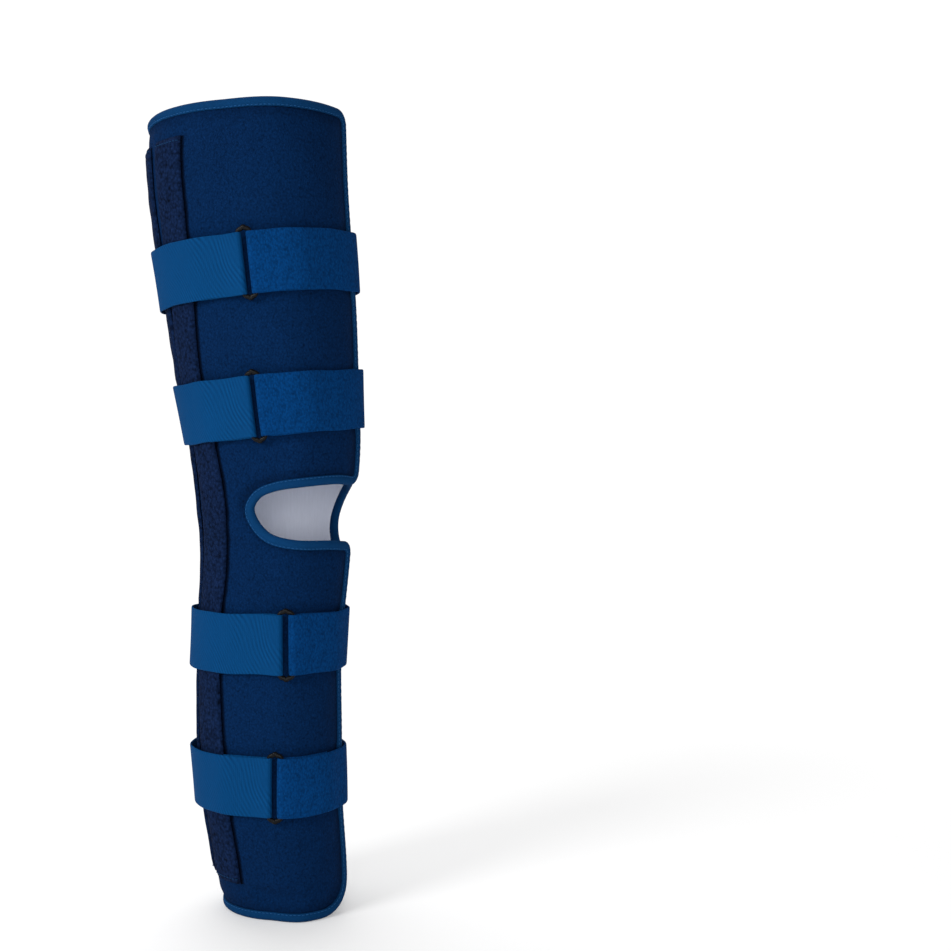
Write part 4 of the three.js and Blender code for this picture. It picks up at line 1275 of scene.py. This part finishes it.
class KNEE_OT_rings(bpy.types.Operator):
    """Builds the four wire rings that the straps turn back through"""

    bl_idname = "knee.rings"
    bl_label = "Wire rings"

    def execute(self, context):
        sizes = context.scene.knee_straps
        wrap = Wrap(context.scene.knee_wrap)
        enamel = wire_material(context.scene.knee_colours.wire)
        bar = (sizes.ring_width - sizes.wire) / 2
        bar_height = sizes.loop + wrap.s.gap + sizes.wire / 2
        top = sizes.width / 2 + sizes.past - sizes.wire / 2
        bend, crowning = 0.0042, 0.0012
        angle = np.linspace(0, math.pi / 2, 7)
        flat, shoulder = bar - bend, top - crowning - bend
        corner = paired(flat + bend * np.cos(angle), shoulder + bend * np.sin(angle))
        bow = np.linspace(flat, -flat, 9)[1:-1]
        crown = top - crowning * (bow / flat) ** 2
        end = np.vstack([corner, paired(bow, crown), (corner * (-1, 1))[::-1]])
        left = paired(-bar, np.linspace(end[0, 1], -end[0, 1], 16)[1:-1])
        path = np.vstack([end, left, -end, -left])
        at_end = smooth((np.abs(path[:, 1]) - top + 0.004) / 0.003)
        thick = 1 + paired(0.28 * at_end, 0.05 * at_end)
        for number, strap in enumerate(STRAPS, 1):
            lower, upper = strap_edges(wrap, strap, sizes.width)
            low, high = lower.at(path[:, 0], bar_height), upper.at(path[:, 0], bar_height)
            line = low + (high - low) * (path[:, 1] / sizes.width + 0.5)[:, None]
            out = unit(lower.at(0.0, 0.001) - lower.at(0.0, 0.0))
            bm = cloth_mesh([(tube(line, sizes.wire / 2, 14, closed=True, flat=thick, up=out), None)])
            finish_piece(f"strap_{number}_ring", bm, enamel, [f"ring_{number}"])
        return {"FINISHED"}


class KNEE_OT_stage(bpy.types.Operator):
    """Builds the pale floor, the soft light and the camera"""

    bl_idname = "knee.stage"
    bl_label = "Stage"

    def execute(self, context):
        stage, scene = context.scene.knee_stage, context.scene
        bm = bmesh.new()
        bmesh.ops.create_grid(bm, x_segments=2, y_segments=2, size=FLOOR_REACH)
        mesh = bpy.data.meshes.new("floor")
        bm.to_mesh(mesh)
        bm.free()
        floor = bpy.data.objects.new("floor", mesh)
        scene.collection.objects.link(floor)
        paper, tree, shader, coords = bare_material("Paper floor")
        shader.inputs["Base Color"].default_value = (*stage.floor, 1)
        shader.inputs["Roughness"].default_value = 0.85
        shader.inputs["Specular IOR Level"].default_value = 0.2
        away = node(tree, "ShaderNodeVectorMath", {0: coords["Object"]}, operation="LENGTH").outputs["Value"]
        seen = node(tree, "ShaderNodeLightPath").outputs["Is Camera Ray"]
        share = maths(tree, "MULTIPLY", ranged(tree, away, *FLOOR_FADE, FLOOR_WHITE), seen)
        white = node(tree, "ShaderNodeEmission", {"Color": (1, 1, 1, 1), "Strength": WHITE_STRENGTH})
        mixed = node(tree, "ShaderNodeMixShader", {0: share, 1: shader.outputs[0], 2: white.outputs[0]})
        output = next(n for n in tree.nodes if n.type == "OUTPUT_MATERIAL")
        tree.links.new(mixed.outputs[0], output.inputs["Surface"])
        mesh.materials.append(paper)
        world = bpy.data.worlds.new("Soft room")
        world.use_nodes = True
        background = world.node_tree.nodes["Background"]
        background.inputs["Color"].default_value = (1, 1, 1, 1)
        seen = node(world.node_tree, "ShaderNodeLightPath").outputs["Is Camera Ray"]
        strength = ranged(world.node_tree, seen, low=stage.sky, high=WHITE_STRENGTH)
        world.node_tree.links.new(strength, background.inputs["Strength"])
        scene.world = world
        for name, place, size, share in LAMPS:
            lamp = bpy.data.lights.new(name, "AREA")
            lamp.shape = "DISK"
            lamp.size = size
            lamp.energy = stage.key_power * share
            aim_from(scene, bpy.data.objects.new(name, lamp), place, Vector((0, 0, 0.35)) - Vector(place))
        camera = bpy.data.objects.new("camera", bpy.data.cameras.new("camera"))
        aim_from(scene, camera, CAMERA_PLACE, Vector(CAMERA_SIGHT))
        camera.data.sensor_width = 36
        camera.data.lens = stage.lens
        scene.camera = camera
        scene.view_settings.view_transform = "Standard"
        return {"FINISHED"}


class KNEE_PT_parts(bpy.types.Panel):
    """Lists the pieces and their sizes"""

    bl_idname = "KNEE_PT_parts"
    bl_label = "Knee immobilizer"
    bl_space_type = "VIEW_3D"
    bl_region_type = "UI"
    bl_category = "Knee immobilizer"

    def draw(self, context):
        for operator in OPERATORS:
            self.layout.operator(operator.bl_idname)
        for group in ("knee_wrap", "knee_straps", "knee_colours", "knee_stage"):
            box = self.layout.box()
            settings = getattr(context.scene, group)
            for name in settings.__annotations__:
                box.prop(settings, name)


GROUPS = (
    ("knee_wrap", WrapSizes),
    ("knee_straps", StrapSizes),
    ("knee_colours", ClothColours),
    ("knee_stage", StageSettings),
)
OPERATORS = (
    KNEE_OT_stage,
    KNEE_OT_foam_panel,
    KNEE_OT_lining,
    KNEE_OT_binding,
    KNEE_OT_hook_strips,
    KNEE_OT_stay_sleeves,
    KNEE_OT_straps,
    KNEE_OT_rings,
)


def register():
    for name, group in GROUPS:
        bpy.utils.register_class(group)
        setattr(bpy.types.Scene, name, PointerProperty(type=group))
    for made in (*OPERATORS, KNEE_PT_parts):
        bpy.utils.register_class(made)


def unregister():
    for made in reversed((*OPERATORS, KNEE_PT_parts)):
        bpy.utils.unregister_class(made)
    for name, group in reversed(GROUPS):
        delattr(bpy.types.Scene, name)
        bpy.utils.unregister_class(group)


def main():
    register()
    for operator in OPERATORS:
        group, name = operator.bl_idname.split(".")
        getattr(getattr(bpy.ops, group), name)()


if __name__ == "__main__":
    main()
